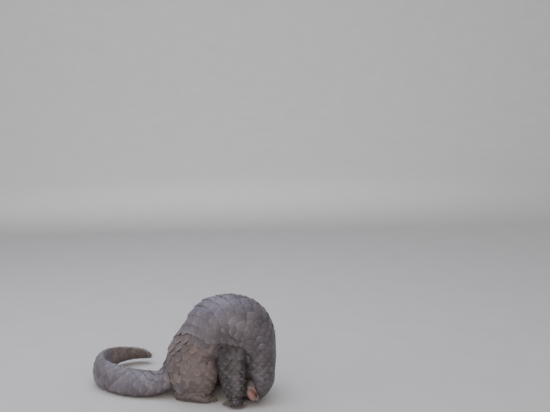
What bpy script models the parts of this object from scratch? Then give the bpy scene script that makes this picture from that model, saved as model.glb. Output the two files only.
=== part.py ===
"""A Sunda pangolin, life size, sitting hunched with its head tucked under and its tail curled beside it.

Metres, +Z up. The animal faces +X and its right flank faces -Y. The origin lies on the floor,
under the middle of the whole model. The animal is shaped as one body along its backbone, from
the snout to the tip of the tail, with four limbs, and is then parted by thin cuts.
"""

import math
import random

import bmesh
import bpy
import numpy as np
from mathutils import Matrix, Vector

GAP = 0.0003
FLOOR = 0.0
SEED = 7

BODY_SIDES = 14
BODY_RING_STEP = 0.023
HEAD_RING_STEP = 0.0120
LIMB_SIDES = 10
LIMB_RING_STEP = 0.024
FOOT_SIDES = 8
FOOT_RING_STEP = 0.020
CLAW_SIDES = 5
CLAW_RINGS = 3

# A rounded end: share of the radius and of the reach at its one ring, and the reach of its pole.
DOME_RING = (0.62, 0.55)
DOME_POLE = 0.75

# The rows of plates, as shares of a plate's width: the step round and along, the length and rise.
PLATE_COLUMN = 1.34
PLATE_ROW = 0.79
PLATE_LENGTH = 1.62
PLATE_RISE = 0.15
PLATE_SUNK = (0.0034, 0.0052)
PLATE_SUNK_SHARE = (0.35, 0.55)
PLATE_SQUEEZE = 0.62
PLATE_CROWDING = 0.86
PLATE_SIZE_SPREAD = 0.05
PLATE_CLEARANCE = 0.0040
SEAT_CLEARANCE = 0.0020
MOST_COLUMNS = 12
FIRST_ROW = {"body": 3.6, "leg": 0.6}
LAST_ROW = {"body": 25.6, "leg": 4.4}

MIDPLANE = -0.055

# How finely a sweep is measured: the step for its direction, the turn for its girth, the least
# values that its spacing may give, and the step and reach of a test of depth.
SIDE_STEP = 0.002
SIDE_TURN = 0.05
LEAST_SPACING = (0.35, 0.004)
DEPTH_STEP = 0.012
DEPTH_REACH = 0.014

# A station along the backbone: place (x, y, z), which way the back faces there, the half width,
# the height of the back and the depth of the belly from the place, the width of a plate, and
# how far round from the back, in degrees, the plates reach.
BACKBONE = (
    ((0.1430, -0.0980, 0.0095), (0.30, 0, -0.95), 0.0060, 0.0055, 0.0050, 0.014, 0),
    ((0.1510, -0.0980, 0.0115), (0.30, 0, -0.95), 0.0090, 0.0080, 0.0070, 0.014, 0),
    ((0.1660, -0.0975, 0.0165), (0.30, 0, -0.95), 0.0130, 0.0110, 0.0100, 0.014, 40),
    ((0.1830, -0.0975, 0.0225), (0.30, 0, -0.95), 0.0205, 0.0160, 0.0140, 0.015, 50),
    ((0.2000, -0.0995, 0.0280), (0.32, 0, -0.95), 0.0280, 0.0230, 0.0225, 0.016, 62),
    ((0.2170, -0.1010, 0.0350), (0.42, 0, -0.90), 0.0345, 0.0290, 0.0290, 0.018, 64),
    ((0.2340, -0.094, 0.0530), (0.85, 0, -0.52), 0.0385, 0.0310, 0.0320, 0.022, 84),
    ((0.2350, -0.080, 0.0860), (1.00, 0, -0.03), 0.0430, 0.0320, 0.0360, 0.027, 112),
    ((0.2270, -0.066, 0.1240), (0.97, 0, 0.25), 0.0510, 0.0400, 0.0440, 0.032, 118),
    ((0.2060, -0.057, 0.1610), (0.80, 0, 0.60), 0.0620, 0.0600, 0.0600, 0.036, 120),
    ((0.1770, -0.055, 0.1870), (0.50, 0, 0.86), 0.0700, 0.0700, 0.0740, 0.038, 122),
    ((0.1440, -0.055, 0.1940), (0.05, 0, 1.00), 0.0750, 0.0700, 0.0820, 0.038, 124),
    ((0.1090, -0.055, 0.1830), (-0.45, 0, 0.89), 0.0780, 0.0720, 0.0840, 0.038, 124),
    ((0.0750, -0.055, 0.1520), (-0.86, 0, 0.51), 0.0800, 0.0630, 0.0740, 0.038, 122),
    ((0.0380, -0.058, 0.1040), (-0.89, 0, 0.45), 0.0760, 0.0600, 0.0600, 0.038, 122),
    ((0.0010, -0.068, 0.0560), (-0.72, -0.12, 0.68), 0.0560, 0.0420, 0.0390, 0.034, 125),
    ((-0.0380, -0.089, 0.0335), (-0.45, -0.30, 0.84), 0.0400, 0.0255, 0.0245, 0.033, 180),
    ((-0.0860, -0.103, 0.0315), (-0.15, -0.64, 0.75), 0.0370, 0.0230, 0.0200, 0.032, 180),
    ((-0.1360, -0.102, 0.0345), (-0.05, -0.88, 0.48), 0.0355, 0.0205, 0.0165, 0.031, 180),
    ((-0.1850, -0.085, 0.0380), (-0.35, -0.90, 0.25), 0.0365, 0.0195, 0.0150, 0.031, 180),
    ((-0.2250, -0.052, 0.0400), (-0.80, -0.55, 0.15), 0.0375, 0.0185, 0.0130, 0.031, 180),
    ((-0.2440, -0.003, 0.0400), (-1.00, -0.05, 0.12), 0.0365, 0.0175, 0.0120, 0.031, 180),
    ((-0.2480, 0.0500, 0.0380), (-0.98, 0.20, 0.26), 0.0340, 0.0160, 0.0115, 0.030, 180),
    ((-0.2360, 0.1010, 0.0340), (-0.80, 0.60, 0.50), 0.0300, 0.0140, 0.0100, 0.029, 180),
    ((-0.2070, 0.1370, 0.0300), (-0.35, 0.93, 0.75), 0.0255, 0.0115, 0.0085, 0.026, 180),
    ((-0.1770, 0.1480, 0.0270), (-0.10, 0.99, 0.85), 0.0210, 0.0095, 0.0065, 0.023, 180),
    ((-0.1630, 0.1460, 0.0255), (0.00, 1.00, 0.85), 0.0155, 0.0070, 0.0050, 0.021, 170),
)

# The same for the right limbs, from the trunk down. Their outer side takes the place of the back.
HIND_LEG = (
    ((0.0600, -0.086, 0.1560), (0, -1, 0.32), 0.0400, 0.0200, 0.0240, 0.027, 90),
    ((0.0580, -0.097, 0.1360), (0, -1, 0.26), 0.0580, 0.0280, 0.0320, 0.029, 98),
    ((0.0560, -0.106, 0.1050), (0, -1, 0.14), 0.0670, 0.0310, 0.0340, 0.029, 102),
    ((0.0570, -0.112, 0.0680), (0, -1, 0.05), 0.0660, 0.0290, 0.0310, 0.028, 102),
    ((0.0600, -0.115, 0.0380), (0, -1, 0.00), 0.0580, 0.0240, 0.0240, 0.025, 96),
    ((0.0620, -0.117, 0.0200), (0, -1, 0.00), 0.0480, 0.0180, 0.0190, 0.022, 90),
)
HIND_FOOT = (
    ((0.0160, -0.117, 0.0100), (0, 0, 1), 0.0120, 0.0100, 0.0120, 0.012, 0),
    ((0.0300, -0.118, 0.0110), (0, 0, 1), 0.0190, 0.0130, 0.0130, 0.012, 0),
    ((0.0600, -0.120, 0.0110), (0, 0, 1), 0.0210, 0.0140, 0.0130, 0.012, 0),
    ((0.0900, -0.121, 0.0100), (0, 0, 1), 0.0230, 0.0110, 0.0120, 0.012, 0),
    ((0.1030, -0.121, 0.0090), (0, 0, 1), 0.0210, 0.0080, 0.0110, 0.012, 0),
)
FORELEG = (
    ((0.1700, -0.084, 0.1660), (0, -1, 0.25), 0.0360, 0.0190, 0.0200, 0.024, 90),
    ((0.1690, -0.099, 0.1420), (0, -1, 0.22), 0.0470, 0.0260, 0.0280, 0.027, 98),
    ((0.1690, -0.117, 0.1050), (0, -1, 0.18), 0.0400, 0.0250, 0.0260, 0.026, 102),
    ((0.1720, -0.131, 0.0700), (0, -1, 0.12), 0.0330, 0.0210, 0.0220, 0.024, 102),
    ((0.1780, -0.143, 0.0430), (0, -1, 0.05), 0.0270, 0.0170, 0.0160, 0.021, 100),
    ((0.1815, -0.1466, 0.0300), (0, -1, 0.03), 0.0230, 0.0145, 0.0135, 0.018, 96),
)
FOREFOOT = (
    ((0.2010, -0.148, 0.0120), (0, 0, 1), 0.0110, 0.0100, 0.0130, 0.012, 0),
    ((0.1950, -0.148, 0.0130), (0, 0, 1), 0.0170, 0.0130, 0.0140, 0.012, 0),
    ((0.1840, -0.148, 0.0130), (0, 0, 1), 0.0200, 0.0130, 0.0140, 0.012, 0),
    ((0.1740, -0.148, 0.0110), (0, 0, 1), 0.0190, 0.0100, 0.0120, 0.012, 0),
    ((0.1690, -0.148, 0.0100), (0, 0, 1), 0.0150, 0.0070, 0.0100, 0.012, 0),
)

# Where the head ends and where the body is parted, as the number of a station of the backbone.
NECK = 6.15
PARTINGS = (NECK, 8.2, 10.5, 12.8, 15.3, 17.3, 19.4, 21.6, 23.6)
LENGTHS = (
    "head",
    "neck",
    "torso_shoulders",
    "torso_back",
    "torso_rump",
    "tail_base",
    "tail_near",
    "tail_bend",
    "tail_far",
    "tail_tip",
)

COLOURS = {
    "scales": (0.070, 0.062, 0.050, 1.0),
    "skin": (0.42, 0.31, 0.28, 1.0),
    "ear": (0.55, 0.28, 0.25, 1.0),
    "claw": (0.23, 0.19, 0.14, 1.0),
    "eye": (0.012, 0.010, 0.009, 1.0),
}
SHARP_DEGREES = 32
ROUGHNESS = {"scales": 0.45, "skin": 0.62, "ear": 0.55, "claw": 0.38, "eye": 0.08}


def clear_scene():
    for obj in list(bpy.data.objects):
        bpy.data.objects.remove(obj, do_unlink=True)


def new_collection(name):
    collection = bpy.data.collections.new(name)
    bpy.context.scene.collection.children.link(collection)
    return collection


def new_material(name):
    material = bpy.data.materials.new(name)
    material.use_nodes = True
    shader = material.node_tree.nodes["Principled BSDF"]
    shader.inputs["Base Color"].default_value = COLOURS[name]
    shader.inputs["Roughness"].default_value = ROUGHNESS[name]
    shader.inputs["Metallic"].default_value = 0.0
    return material


class Sweep:
    """A body of changing oval section along a smooth line through its stations."""

    def __init__(self, stations, left=False):
        rows = [list(s[0]) + list(s[1]) + list(s[2:]) for s in stations]
        self.rows = np.array(rows, float)
        if left:
            self.rows[:, 1] = 2 * MIDPLANE - self.rows[:, 1]
            self.rows[:, 4] = -self.rows[:, 4]
        steps = np.linalg.norm(np.diff(self.rows[:, :3], axis=0), axis=1)
        self.knots = np.concatenate([[0.0], np.cumsum(steps)])
        self.length = self.knots[-1]
        self.slopes = np.gradient(self.rows, self.knots, axis=0)

    def station(self, number):
        """The distance along the line at a station, whole or between two."""
        return float(np.interp(number, range(len(self.knots)), self.knots))

    def row(self, s):
        s = min(max(s, 0.0), self.length)
        i = min(int(np.searchsorted(self.knots, s, "right")) - 1, len(self.knots) - 2)
        span = self.knots[i + 1] - self.knots[i]
        t = (s - self.knots[i]) / span
        start = (1 + 2 * t) * (1 - t) ** 2
        end = t * t * (3 - 2 * t)
        leave = t * (1 - t) ** 2 * span
        arrive = t * t * (t - 1) * span
        row = start * self.rows[i] + end * self.rows[i + 1]
        return row + leave * self.slopes[i] + arrive * self.slopes[i + 1]

    def frame(self, s):
        """The place, the way along, the way the back faces and the way to the side."""
        row = self.row(s)
        before, after = self.row(s - SIDE_STEP), self.row(s + SIDE_STEP)
        along = Vector(after[:3] - before[:3]).normalized()
        back = Vector(row[3:6])
        back = (back - along * back.dot(along)).normalized()
        return Vector(row[:3]), along, back, along.cross(back), row[6:]

    def skin(self, s, angle, lift=0.0):
        """A point of the surface at this distance along and angle round from the back."""
        place, _, back, side, sizes = self.frame(s)
        height = sizes[1] if math.cos(angle) > 0 else sizes[2]
        across = side * ((sizes[0] + lift) * math.sin(angle))
        return place + across + back * ((height + lift) * math.cos(angle))

    def angle_at(self, s, distance):
        """The angle round from the back at this distance over the surface, to either side."""
        angles = np.linspace(0, math.pi, 25)
        sizes = self.row(s)[6:]
        high = np.where(np.cos(angles) > 0, sizes[1], sizes[2]) * np.cos(angles)
        wide = sizes[0] * np.sin(angles)
        run = np.concatenate([[0], np.cumsum(np.hypot(np.diff(high), np.diff(wide)))])
        if abs(distance) > run[-1]:
            return None
        return math.copysign(float(np.interp(abs(distance), run, angles)), distance)

    def spacing(self, s, angle):
        """How far the surface runs for a metre along the line, and for a turn of one radian."""
        along = self.skin(s + SIDE_STEP, angle) - self.skin(s - SIDE_STEP, angle)
        turn = self.skin(s, angle + SIDE_TURN) - self.skin(s, angle - SIDE_TURN)
        run = max(along.length / (2 * SIDE_STEP), LEAST_SPACING[0])
        return run, max(turn.length / (2 * SIDE_TURN), LEAST_SPACING[1])

    def depth(self, point):
        """About how far a point lies inside the body, or outside it if negative."""
        best = -1.0
        for s in np.linspace(0, self.length, max(6, int(self.length / DEPTH_STEP))):
            place, along, back, side, sizes = self.frame(float(s))
            offset = point - place
            if abs(offset.dot(along)) > DEPTH_REACH:
                continue
            up = offset.dot(back)
            height = sizes[1] if up > 0 else sizes[2]
            reach = math.hypot(offset.dot(side) / sizes[0], up / height)
            best = max(best, (1 - reach) * min(sizes[0], height))
        return best


def even_steps(start, end, step):
    """Distances from start to end, about a step apart, without the end."""
    return [float(s) for s in np.linspace(start, end, max(3, round((end - start) / step)) + 1)][:-1]


def loft(sweep, distances, sides):
    """The closed mesh of a sweep, with rounded ends."""
    mesh = bmesh.new()
    rings = []
    for s in [*distances, sweep.length]:
        ring = [mesh.verts.new(sweep.skin(s, 2 * math.pi * k / sides)) for k in range(sides)]
        rings.append(ring)
    for first, second in zip(rings, rings[1:]):
        for k in range(sides):
            nxt = (k + 1) % sides
            mesh.faces.new((first[k], first[nxt], second[nxt], second[k]))
    for ring, s, sign in ((rings[0], 0.0, -1), (rings[-1], sweep.length, 1)):
        place, along, _, _, sizes = sweep.frame(s)
        dome = sign * min(sizes[0], sizes[1])
        inner = []
        for vert in ring:
            spot = place + (vert.co - place) * DOME_RING[0] + along * (dome * DOME_RING[1])
            inner.append(mesh.verts.new(spot))
        pole = mesh.verts.new(place + along * (dome * DOME_POLE))
        for k in range(sides):
            nxt = (k + 1) % sides
            mesh.faces.new((ring[k], ring[nxt], inner[nxt], inner[k]))
            mesh.faces.new((inner[k], inner[nxt], pole))
    bmesh.ops.recalc_face_normals(mesh, faces=mesh.faces)
    bmesh.ops.triangulate(mesh, faces=mesh.faces)
    return mesh


def to_object(mesh, name, collection):
    data = bpy.data.meshes.new(name)
    mesh.to_mesh(data)
    mesh.free()
    obj = bpy.data.objects.new(name, data)
    collection.objects.link(obj)
    return obj


# Half outline of a plate, from root to tip: share of the width, of the length and of the rise.
PLATE_OUTLINE = ((0.00, -0.50, -0.45), (0.50, 0.00, 0.35), (0.00, 0.50, 1.00))


def plate(sweep, s, angle, size, limits, collection):
    """One plate, its root in the skin and its free edge raised, or none where it has no room."""
    width, length, rise = size
    run, turn = sweep.spacing(s, angle)
    half = list(PLATE_OUTLINE)
    outline = half + [(-x, y, z) for x, y, z in reversed(half[1:-1])]

    thin = min(sweep.row(s)[7:9])
    sunk = [min(depth, share * thin) for depth, share in zip(PLATE_SUNK, PLATE_SUNK_SHARE)]
    shallow, deep = sunk

    def spot(x, y, lift):
        return sweep.skin(s + y * length / run, angle + x * width / turn, lift)

    corners = [spot(x, y, max(z * rise, -shallow)) for x, y, z in outline]
    if any(other.depth(corner) > -PLATE_CLEARANCE for other in limits for corner in corners):
        return None
    mesh = bmesh.new()
    top = [mesh.verts.new(corner) for corner in corners]
    bottom = [mesh.verts.new(spot(x, y, -deep)) for x, y, _ in outline]
    middle = len(half) - 1
    mesh.faces.new(top[: middle + 1])
    mesh.faces.new(top[middle:] + top[:1])
    for k in range(len(top)):
        nxt = (k + 1) % len(top)
        mesh.faces.new((bottom[k], bottom[nxt], top[nxt], top[k]))
    mesh.faces.new(bottom[::-1])
    bmesh.ops.recalc_face_normals(mesh, faces=mesh.faces)
    bmesh.ops.triangulate(mesh, faces=mesh.faces)
    return to_object(mesh, "plate", collection)


def lay_plates(sweep, start, end, limits, collection, draw):
    """Rows of plates over a sweep, each row set half a plate round from the row before it."""
    laid = []
    s = start
    row_number = 0
    while s < end:
        width, reach = sweep.row(s)[9:11]
        back_run, _ = sweep.spacing(s, 0.0)
        apart = width * PLATE_ROW
        for step in range(-MOST_COLUMNS, MOST_COLUMNS + 1):
            distance = (step + (row_number % 2) / 2) * width * PLATE_COLUMN
            angle = sweep.angle_at(s, distance)
            if angle is None or abs(angle) > math.radians(reach):
                continue
            point = sweep.skin(s, angle)
            if any(other.depth(point) > -SEAT_CLEARANCE for other in limits):
                continue
            run, _ = sweep.spacing(s, angle)
            squeeze = min(1.0, max(PLATE_SQUEEZE, run / back_run))
            near = PLATE_CROWDING * width * math.hypot(PLATE_COLUMN / 2, PLATE_ROW * squeeze)
            if any((point - spot).length < near for spot in laid):
                continue
            laid.append(point)
            varied = 1 + PLATE_SIZE_SPREAD * (2 * draw.random() - 1)
            size = (width * varied, PLATE_LENGTH * apart * squeeze * varied, width * PLATE_RISE)
            plate(sweep, s, angle, size, limits, collection)
        s += apart / back_run
        row_number += 1


def evaluated_mesh(obj):
    graph = bpy.context.evaluated_depsgraph_get()
    return bpy.data.meshes.new_from_object(obj.evaluated_get(graph))


def apply_modifiers(obj):
    mesh = evaluated_mesh(obj)
    obj.modifiers.clear()
    obj.data = mesh


def join_collection(obj, collection):
    """Fuses every object of a collection with this one, and removes them."""
    if not collection.objects:
        return
    union = obj.modifiers.new("union", "BOOLEAN")
    union.operation = "UNION"
    union.operand_type = "COLLECTION"
    union.collection = collection
    union.solver = "EXACT"
    apply_modifiers(obj)
    for piece in list(collection.objects):
        bpy.data.objects.remove(piece, do_unlink=True)


def cut(obj, cutter):
    difference = obj.modifiers.new("cut", "BOOLEAN")
    difference.operation = "DIFFERENCE"
    difference.object = cutter
    difference.solver = "EXACT"
    apply_modifiers(obj)


def swollen_copy(obj, collection, swell=GAP):
    """A copy grown along its normals, to cut its own room with a gap round it."""
    mesh = bmesh.new()
    mesh.from_mesh(obj.data)
    mesh.normal_update()
    moves = [vert.normal * swell for vert in mesh.verts]
    for vert, move in zip(mesh.verts, moves):
        vert.co += move
    return to_object(mesh, obj.name + "_room", collection)


def islands(mesh):
    """The vertices of each closed surface of a bmesh."""
    left = set(mesh.verts)
    while left:
        stack = [left.pop()]
        found = set(stack)
        while stack:
            for edge in stack.pop().link_edges:
                for vert in edge.verts:
                    if vert in left:
                        left.discard(vert)
                        found.add(vert)
                        stack.append(vert)
        yield found


def island_volume(verts):
    faces = {face for vert in verts for face in vert.link_faces}
    total = 0.0
    for face in faces:
        a, b, c = (loop.vert.co for loop in list(face.loops)[:3])
        total += a.dot(b.cross(c)) / 6
    return total


def drop_folded(mesh):
    """Removes pairs of triangles on the same three corners, which a union can leave back to back."""
    seen = {}
    for face in mesh.faces:
        seen.setdefault(frozenset(face.verts), []).append(face)
    folded = [face for group in seen.values() if len(group) > 1 for face in group]
    bmesh.ops.delete(mesh, geom=folded, context="FACES_ONLY")


def keep_largest(obj):
    """Drops loose scraps and sealed hollows that a cut or a union leaves."""
    mesh = bmesh.new()
    mesh.from_mesh(obj.data)
    bmesh.ops.triangulate(mesh, faces=mesh.faces)
    drop_folded(mesh)
    found = sorted(islands(mesh), key=island_volume)
    for verts in found[:-1]:
        bmesh.ops.delete(mesh, geom=list(verts), context="VERTS")
    mesh.to_mesh(obj.data)
    mesh.free()


def split_bodies(obj, least, collection):
    """The larger closed surfaces of an object, each as an object of its own."""
    source = bmesh.new()
    source.from_mesh(obj.data)
    bmesh.ops.triangulate(source, faces=source.faces)
    drop_folded(source)
    pieces = []
    for verts in islands(source):
        if island_volume(verts) < least:
            continue
        mesh = bmesh.new()
        copies = {vert: mesh.verts.new(vert.co) for vert in verts}
        for face in {face for vert in verts for face in vert.link_faces}:
            mesh.faces.new([copies[vert] for vert in face.verts])
        pieces.append(to_object(mesh, "piece", collection))
    source.free()
    bpy.data.objects.remove(obj, do_unlink=True)
    return pieces


def finish_node(obj, name, material, collection):
    obj.name = name
    obj.data.name = name
    obj.data.materials.clear()
    obj.data.materials.append(material)
    obj.data.shade_smooth()
    obj.data.set_sharp_from_angle(angle=math.radians(SHARP_DEGREES))
    if obj.name not in collection.objects:
        for home in list(obj.users_collection):
            home.objects.unlink(obj)
        collection.objects.link(obj)
    return obj


def ball(place, sizes, frame, name, collection, segments=12, rings=8):
    """An ellipsoid whose three half sizes lie along the three vectors of its frame."""
    mesh = bmesh.new()
    turn = Matrix((frame[0], frame[1], frame[2])).transposed().to_4x4()
    stretch = Matrix.Diagonal((*sizes, 1.0))
    bmesh.ops.create_uvsphere(
        mesh,
        u_segments=segments,
        v_segments=rings,
        radius=1.0,
        matrix=Matrix.Translation(place) @ turn @ stretch,
    )
    bmesh.ops.recalc_face_normals(mesh, faces=mesh.faces)
    bmesh.ops.triangulate(mesh, faces=mesh.faces)
    return to_object(mesh, name, collection)


def floor_cutter(collection):
    """What lies below the floor, to leave small flats where the animal rests."""
    mesh = bmesh.new()
    deep = 0.05
    bmesh.ops.create_cube(
        mesh,
        size=1.0,
        matrix=Matrix.Translation((0, 0, FLOOR - deep / 2)) @ Matrix.Diagonal((1, 1, deep, 1)),
    )
    return to_object(mesh, "below_floor", collection)


# A claw's width as a share of its depth, and its depth at shares of its length.
CLAW_NARROW = 0.72
CLAW_TAPER = ((0.0, 0.95), (0.25, 1.0), (0.5, 0.82), (0.75, 0.55), (1.0, 0.16))


def claw_sweep(root, middle, tip, radius, outward):
    """A claw from its root to its point, deeper than wide and bent through its middle."""
    stations = []
    for t, share in CLAW_TAPER:
        place = root.lerp(middle, t).lerp(middle.lerp(tip, t), t)
        deep = radius * share
        stations.append((tuple(place), tuple(outward), CLAW_NARROW * deep, deep, deep, radius, 0))
    return Sweep(stations)


CLAW_NAMES = ("inner", "second", "middle", "fourth", "outer")

# For each foot: where the roots of its claws lie, how far apart, the longest claw, how far the
# outer ones stand back, which way they point, and each claw's share of the length and radius.
FORE_CLAWS = {
    "root": (0.1770, -0.148, 0.0115),
    "apart": 0.0084,
    "length": 0.031,
    "set_back": 0.0012,
    "points": -1,
    "claws": ((0.50, 0.0038), (0.85, 0.0052), (1.0, 0.0058), (0.80, 0.0050), (0.45, 0.0036)),
}
HIND_CLAWS = {
    "root": (0.1050, -0.121, 0.0085),
    "apart": 0.0088,
    "length": 0.022,
    "set_back": 0.0032,
    "points": 1,
    "claws": ((0.70, 0.0034), (0.95, 0.0040), (1.0, 0.0042), (0.95, 0.0040), (0.65, 0.0034)),
}
CLAW_BEND = (0.55, 0.12)
CLAW_DROP = 0.24


def claws(foot, kind, side, left, collection):
    """The five claws of a foot, bent down to their points."""
    made = []
    for number, (share, radius) in enumerate(foot["claws"]):
        x, y, z = foot["root"]
        y += (2 - number) * foot["apart"]
        if left:
            y = 2 * MIDPLANE - y
        length = foot["length"] * share
        ahead = foot["points"]
        root = Vector((x - ahead * foot["set_back"] * abs(number - 2), y, z))
        middle = root + Vector((ahead * CLAW_BEND[0] * length, 0, CLAW_BEND[1] * length))
        tip = root + Vector((ahead * length, 0, -CLAW_DROP * length))
        sweep = claw_sweep(root, middle, tip, radius, (0, 0, 1))
        name = f"{kind}_claw_{CLAW_NAMES[number]}_{side}"
        distances = even_steps(0, sweep.length, sweep.length / CLAW_RINGS)
        made.append(to_object(loft(sweep, distances, CLAW_SIDES), name, collection))
    return made


# Features of the head: the station, the angle from the crown and the half sizes, along the head,
# up towards the crown and outwards.
EAR = (5.05, 83, (0.0145, 0.0200, 0.0085))
EAR_OUT = 0.0030
EAR_CUP = (0.0102, 0.0144, 0.0064)
EAR_CUP_AT = (-0.0012, 0.0, 0.0082)
EAR_LOBE = (0.0046, 0.0092, 0.0044)
EAR_LOBE_AT = (-0.0062, 0.001, 0.0042)
EYE = (3.25, 80, 0.0046)
EYE_SUNK = 0.0022
LID_RADII = (0.0054, 0.0015)
LID_SHAPE = (1.18, 0.80)
LID_SUNK = 0.0004
NOSTRIL = (0.0014, 0.0019, 0.0022)
NOSTRIL_AT = (-0.0036, 0.0012, 0.0027)
MOUTH = (1.25, 128, (0.0125, 0.0005, 0.0018))
LIP = (1.0, 0.0042, (0.0095, 0.0028, 0.0056))


def side_frame(sweep, station, degrees, left):
    """A point of the head's side, with the ways along, up towards the crown and outwards."""
    s = sweep.station(station)
    angle = math.radians(degrees) * (1 if left else -1)
    point = sweep.skin(s, angle)
    place, along, _, _, _ = sweep.frame(s)
    out = point - place
    out = (out - along * out.dot(along)).normalized()
    up = out.cross(along)
    if not left:
        up = -up
    return point, along, up, out


def shifted(point, frame, offsets):
    return point + sum((axis * offset for axis, offset in zip(frame, offsets)), Vector())


def make_ear(body, side, left, cutters):
    station, degrees, sizes = EAR
    point, along, up, out = side_frame(body, station, degrees, left)
    axes = (along, up, out)
    centre = point + out * EAR_OUT
    ear = ball(centre, sizes, axes, "ear_" + side, cutters, 10, 7)
    room = swollen_copy(ear, cutters)
    cup = ball(shifted(point, axes, EAR_CUP_AT), EAR_CUP, axes, "cup", cutters, 8, 6)
    cut(ear, cup)
    lobe_at = shifted(point, axes, EAR_LOBE_AT)
    lobes = new_collection("lobes")
    ball(lobe_at, EAR_LOBE, axes, "lobe", lobes, 6, 5)
    join_collection(ear, lobes)
    bpy.data.collections.remove(lobes)
    bpy.data.objects.remove(cup, do_unlink=True)
    keep_largest(ear)
    return ear, room


def make_eye(body, side, left, cutters):
    station, degrees, radius = EYE
    point, along, up, out = side_frame(body, station, degrees, left)
    centre = point - out * EYE_SUNK
    eye = ball(centre, (radius,) * 3, (along, up, out), "eye_" + side, cutters, 8, 6)
    return eye, swollen_copy(eye, cutters)


def add_lids(body, left, collection):
    """A thick ring of skin round an eye, longer than high."""
    station, degrees, _ = EYE
    point, along, up, out = side_frame(body, station, degrees, left)
    major, minor = LID_RADII
    bpy.ops.mesh.primitive_torus_add(
        major_radius=major, minor_radius=minor, major_segments=10, minor_segments=4
    )
    ring = bpy.context.object
    turn = Matrix((along, up, out)).transposed().to_4x4()
    shape = Matrix.Diagonal((*LID_SHAPE, 1.0, 1.0))
    ring.data.transform(Matrix.Translation(point - out * LID_SUNK) @ turn @ shape)
    if turn.determinant() < 0:
        ring.data.flip_normals()
    for home in list(ring.users_collection):
        home.objects.unlink(ring)
    collection.objects.link(ring)


def dress_head(head, body, cutters):
    """Gives the head its lids, lips, mouth, nostrils and the rooms for its ears and eyes."""
    extra = new_collection("head_forms")
    for left in (False, True):
        add_lids(body, left, extra)
    station, below, sizes = LIP
    place, along, back, side, _ = body.frame(body.station(station))
    ball(place - back * below, sizes, (along, back, side), "lip", extra, 8, 6)
    join_collection(head, extra)
    bpy.data.collections.remove(extra)
    made = []
    for name, left in (("right", False), ("left", True)):
        for make in (make_ear, make_eye):
            organ, room = make(body, name, left, cutters)
            cut(head, room)
            bpy.data.objects.remove(room, do_unlink=True)
            made.append(organ)
        station, degrees, sizes = MOUTH
        point, along, up, out = side_frame(body, station, degrees, left)
        groove = ball(point, sizes, (along, up, out), "groove", cutters, 8, 6)
        cut(head, groove)
        bpy.data.objects.remove(groove, do_unlink=True)
        place, along, back, side, _ = body.frame(0.0)
        axes = (along, back, side * (1 if left else -1))
        nostril = ball(shifted(place, axes, NOSTRIL_AT), NOSTRIL, axes, "nostril", cutters, 6, 5)
        cut(head, nostril)
        bpy.data.objects.remove(nostril, do_unlink=True)
    keep_largest(head)
    return made


# How far a parting cut reaches past the plates, and the least volume of a length of the body.
PARTING_MARGIN = 0.011
LEAST_LENGTH_VOLUME = 1e-6


def parting_cutter(body, number, collection):
    """A thin plate across the body, a little wider than its section."""
    s = body.station(number)
    _, along, _, _, _ = body.frame(s)
    mesh = bmesh.new()
    rings = []
    for shift in (-GAP / 2, GAP / 2):
        ring = []
        for k in range(BODY_SIDES):
            edge = body.skin(s, 2 * math.pi * k / BODY_SIDES, PARTING_MARGIN)
            ring.append(mesh.verts.new(edge + along * shift))
        rings.append(ring)
    for k in range(BODY_SIDES):
        nxt = (k + 1) % BODY_SIDES
        mesh.faces.new((rings[0][k], rings[0][nxt], rings[1][nxt], rings[1][k]))
    mesh.faces.new(rings[0])
    mesh.faces.new(rings[1][::-1])
    bmesh.ops.recalc_face_normals(mesh, faces=mesh.faces)
    return to_object(mesh, "parting", collection)


def distance_along(body, obj):
    """How far along the backbone an object's middle lies."""
    points = [vert.co for vert in obj.data.vertices]
    middle = sum(points, Vector()) / len(points)
    steps = np.linspace(0, body.length, 200)
    return min(steps, key=lambda s: (body.frame(float(s))[0] - middle).length)


def make_limb(kind, stations, foot_stations, claw_table, side, left, body, work, draw):
    """A leg with its plates, its foot and its claws."""
    leg_sweep = Sweep(stations, left)
    foot_sweep = Sweep(foot_stations, left)
    rings = even_steps(0, leg_sweep.length, LIMB_RING_STEP)
    leg = to_object(loft(leg_sweep, rings, LIMB_SIDES), f"{kind}_leg_{side}", work)
    rings = even_steps(0, foot_sweep.length, FOOT_RING_STEP)
    foot = to_object(loft(foot_sweep, rings, FOOT_SIDES), f"{kind}_foot_{side}", work)
    rooms = [swollen_copy(leg, work), swollen_copy(foot, work)]
    plates = new_collection("plates")
    start = leg_sweep.station(FIRST_ROW["leg"])
    end = leg_sweep.station(LAST_ROW["leg"])
    lay_plates(leg_sweep, start, end, [body, foot_sweep], plates, draw)
    join_collection(leg, plates)
    bpy.data.collections.remove(plates)
    keep_largest(leg)
    cut(leg, rooms[1])
    horn = claws(claw_table, kind, side, left, work)
    for claw in horn:
        room = swollen_copy(claw, work)
        cut(foot, room)
        bpy.data.objects.remove(room, do_unlink=True)
    keep_largest(leg)
    keep_largest(foot)
    return leg, foot, horn, (leg_sweep, foot_sweep), rooms


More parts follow.
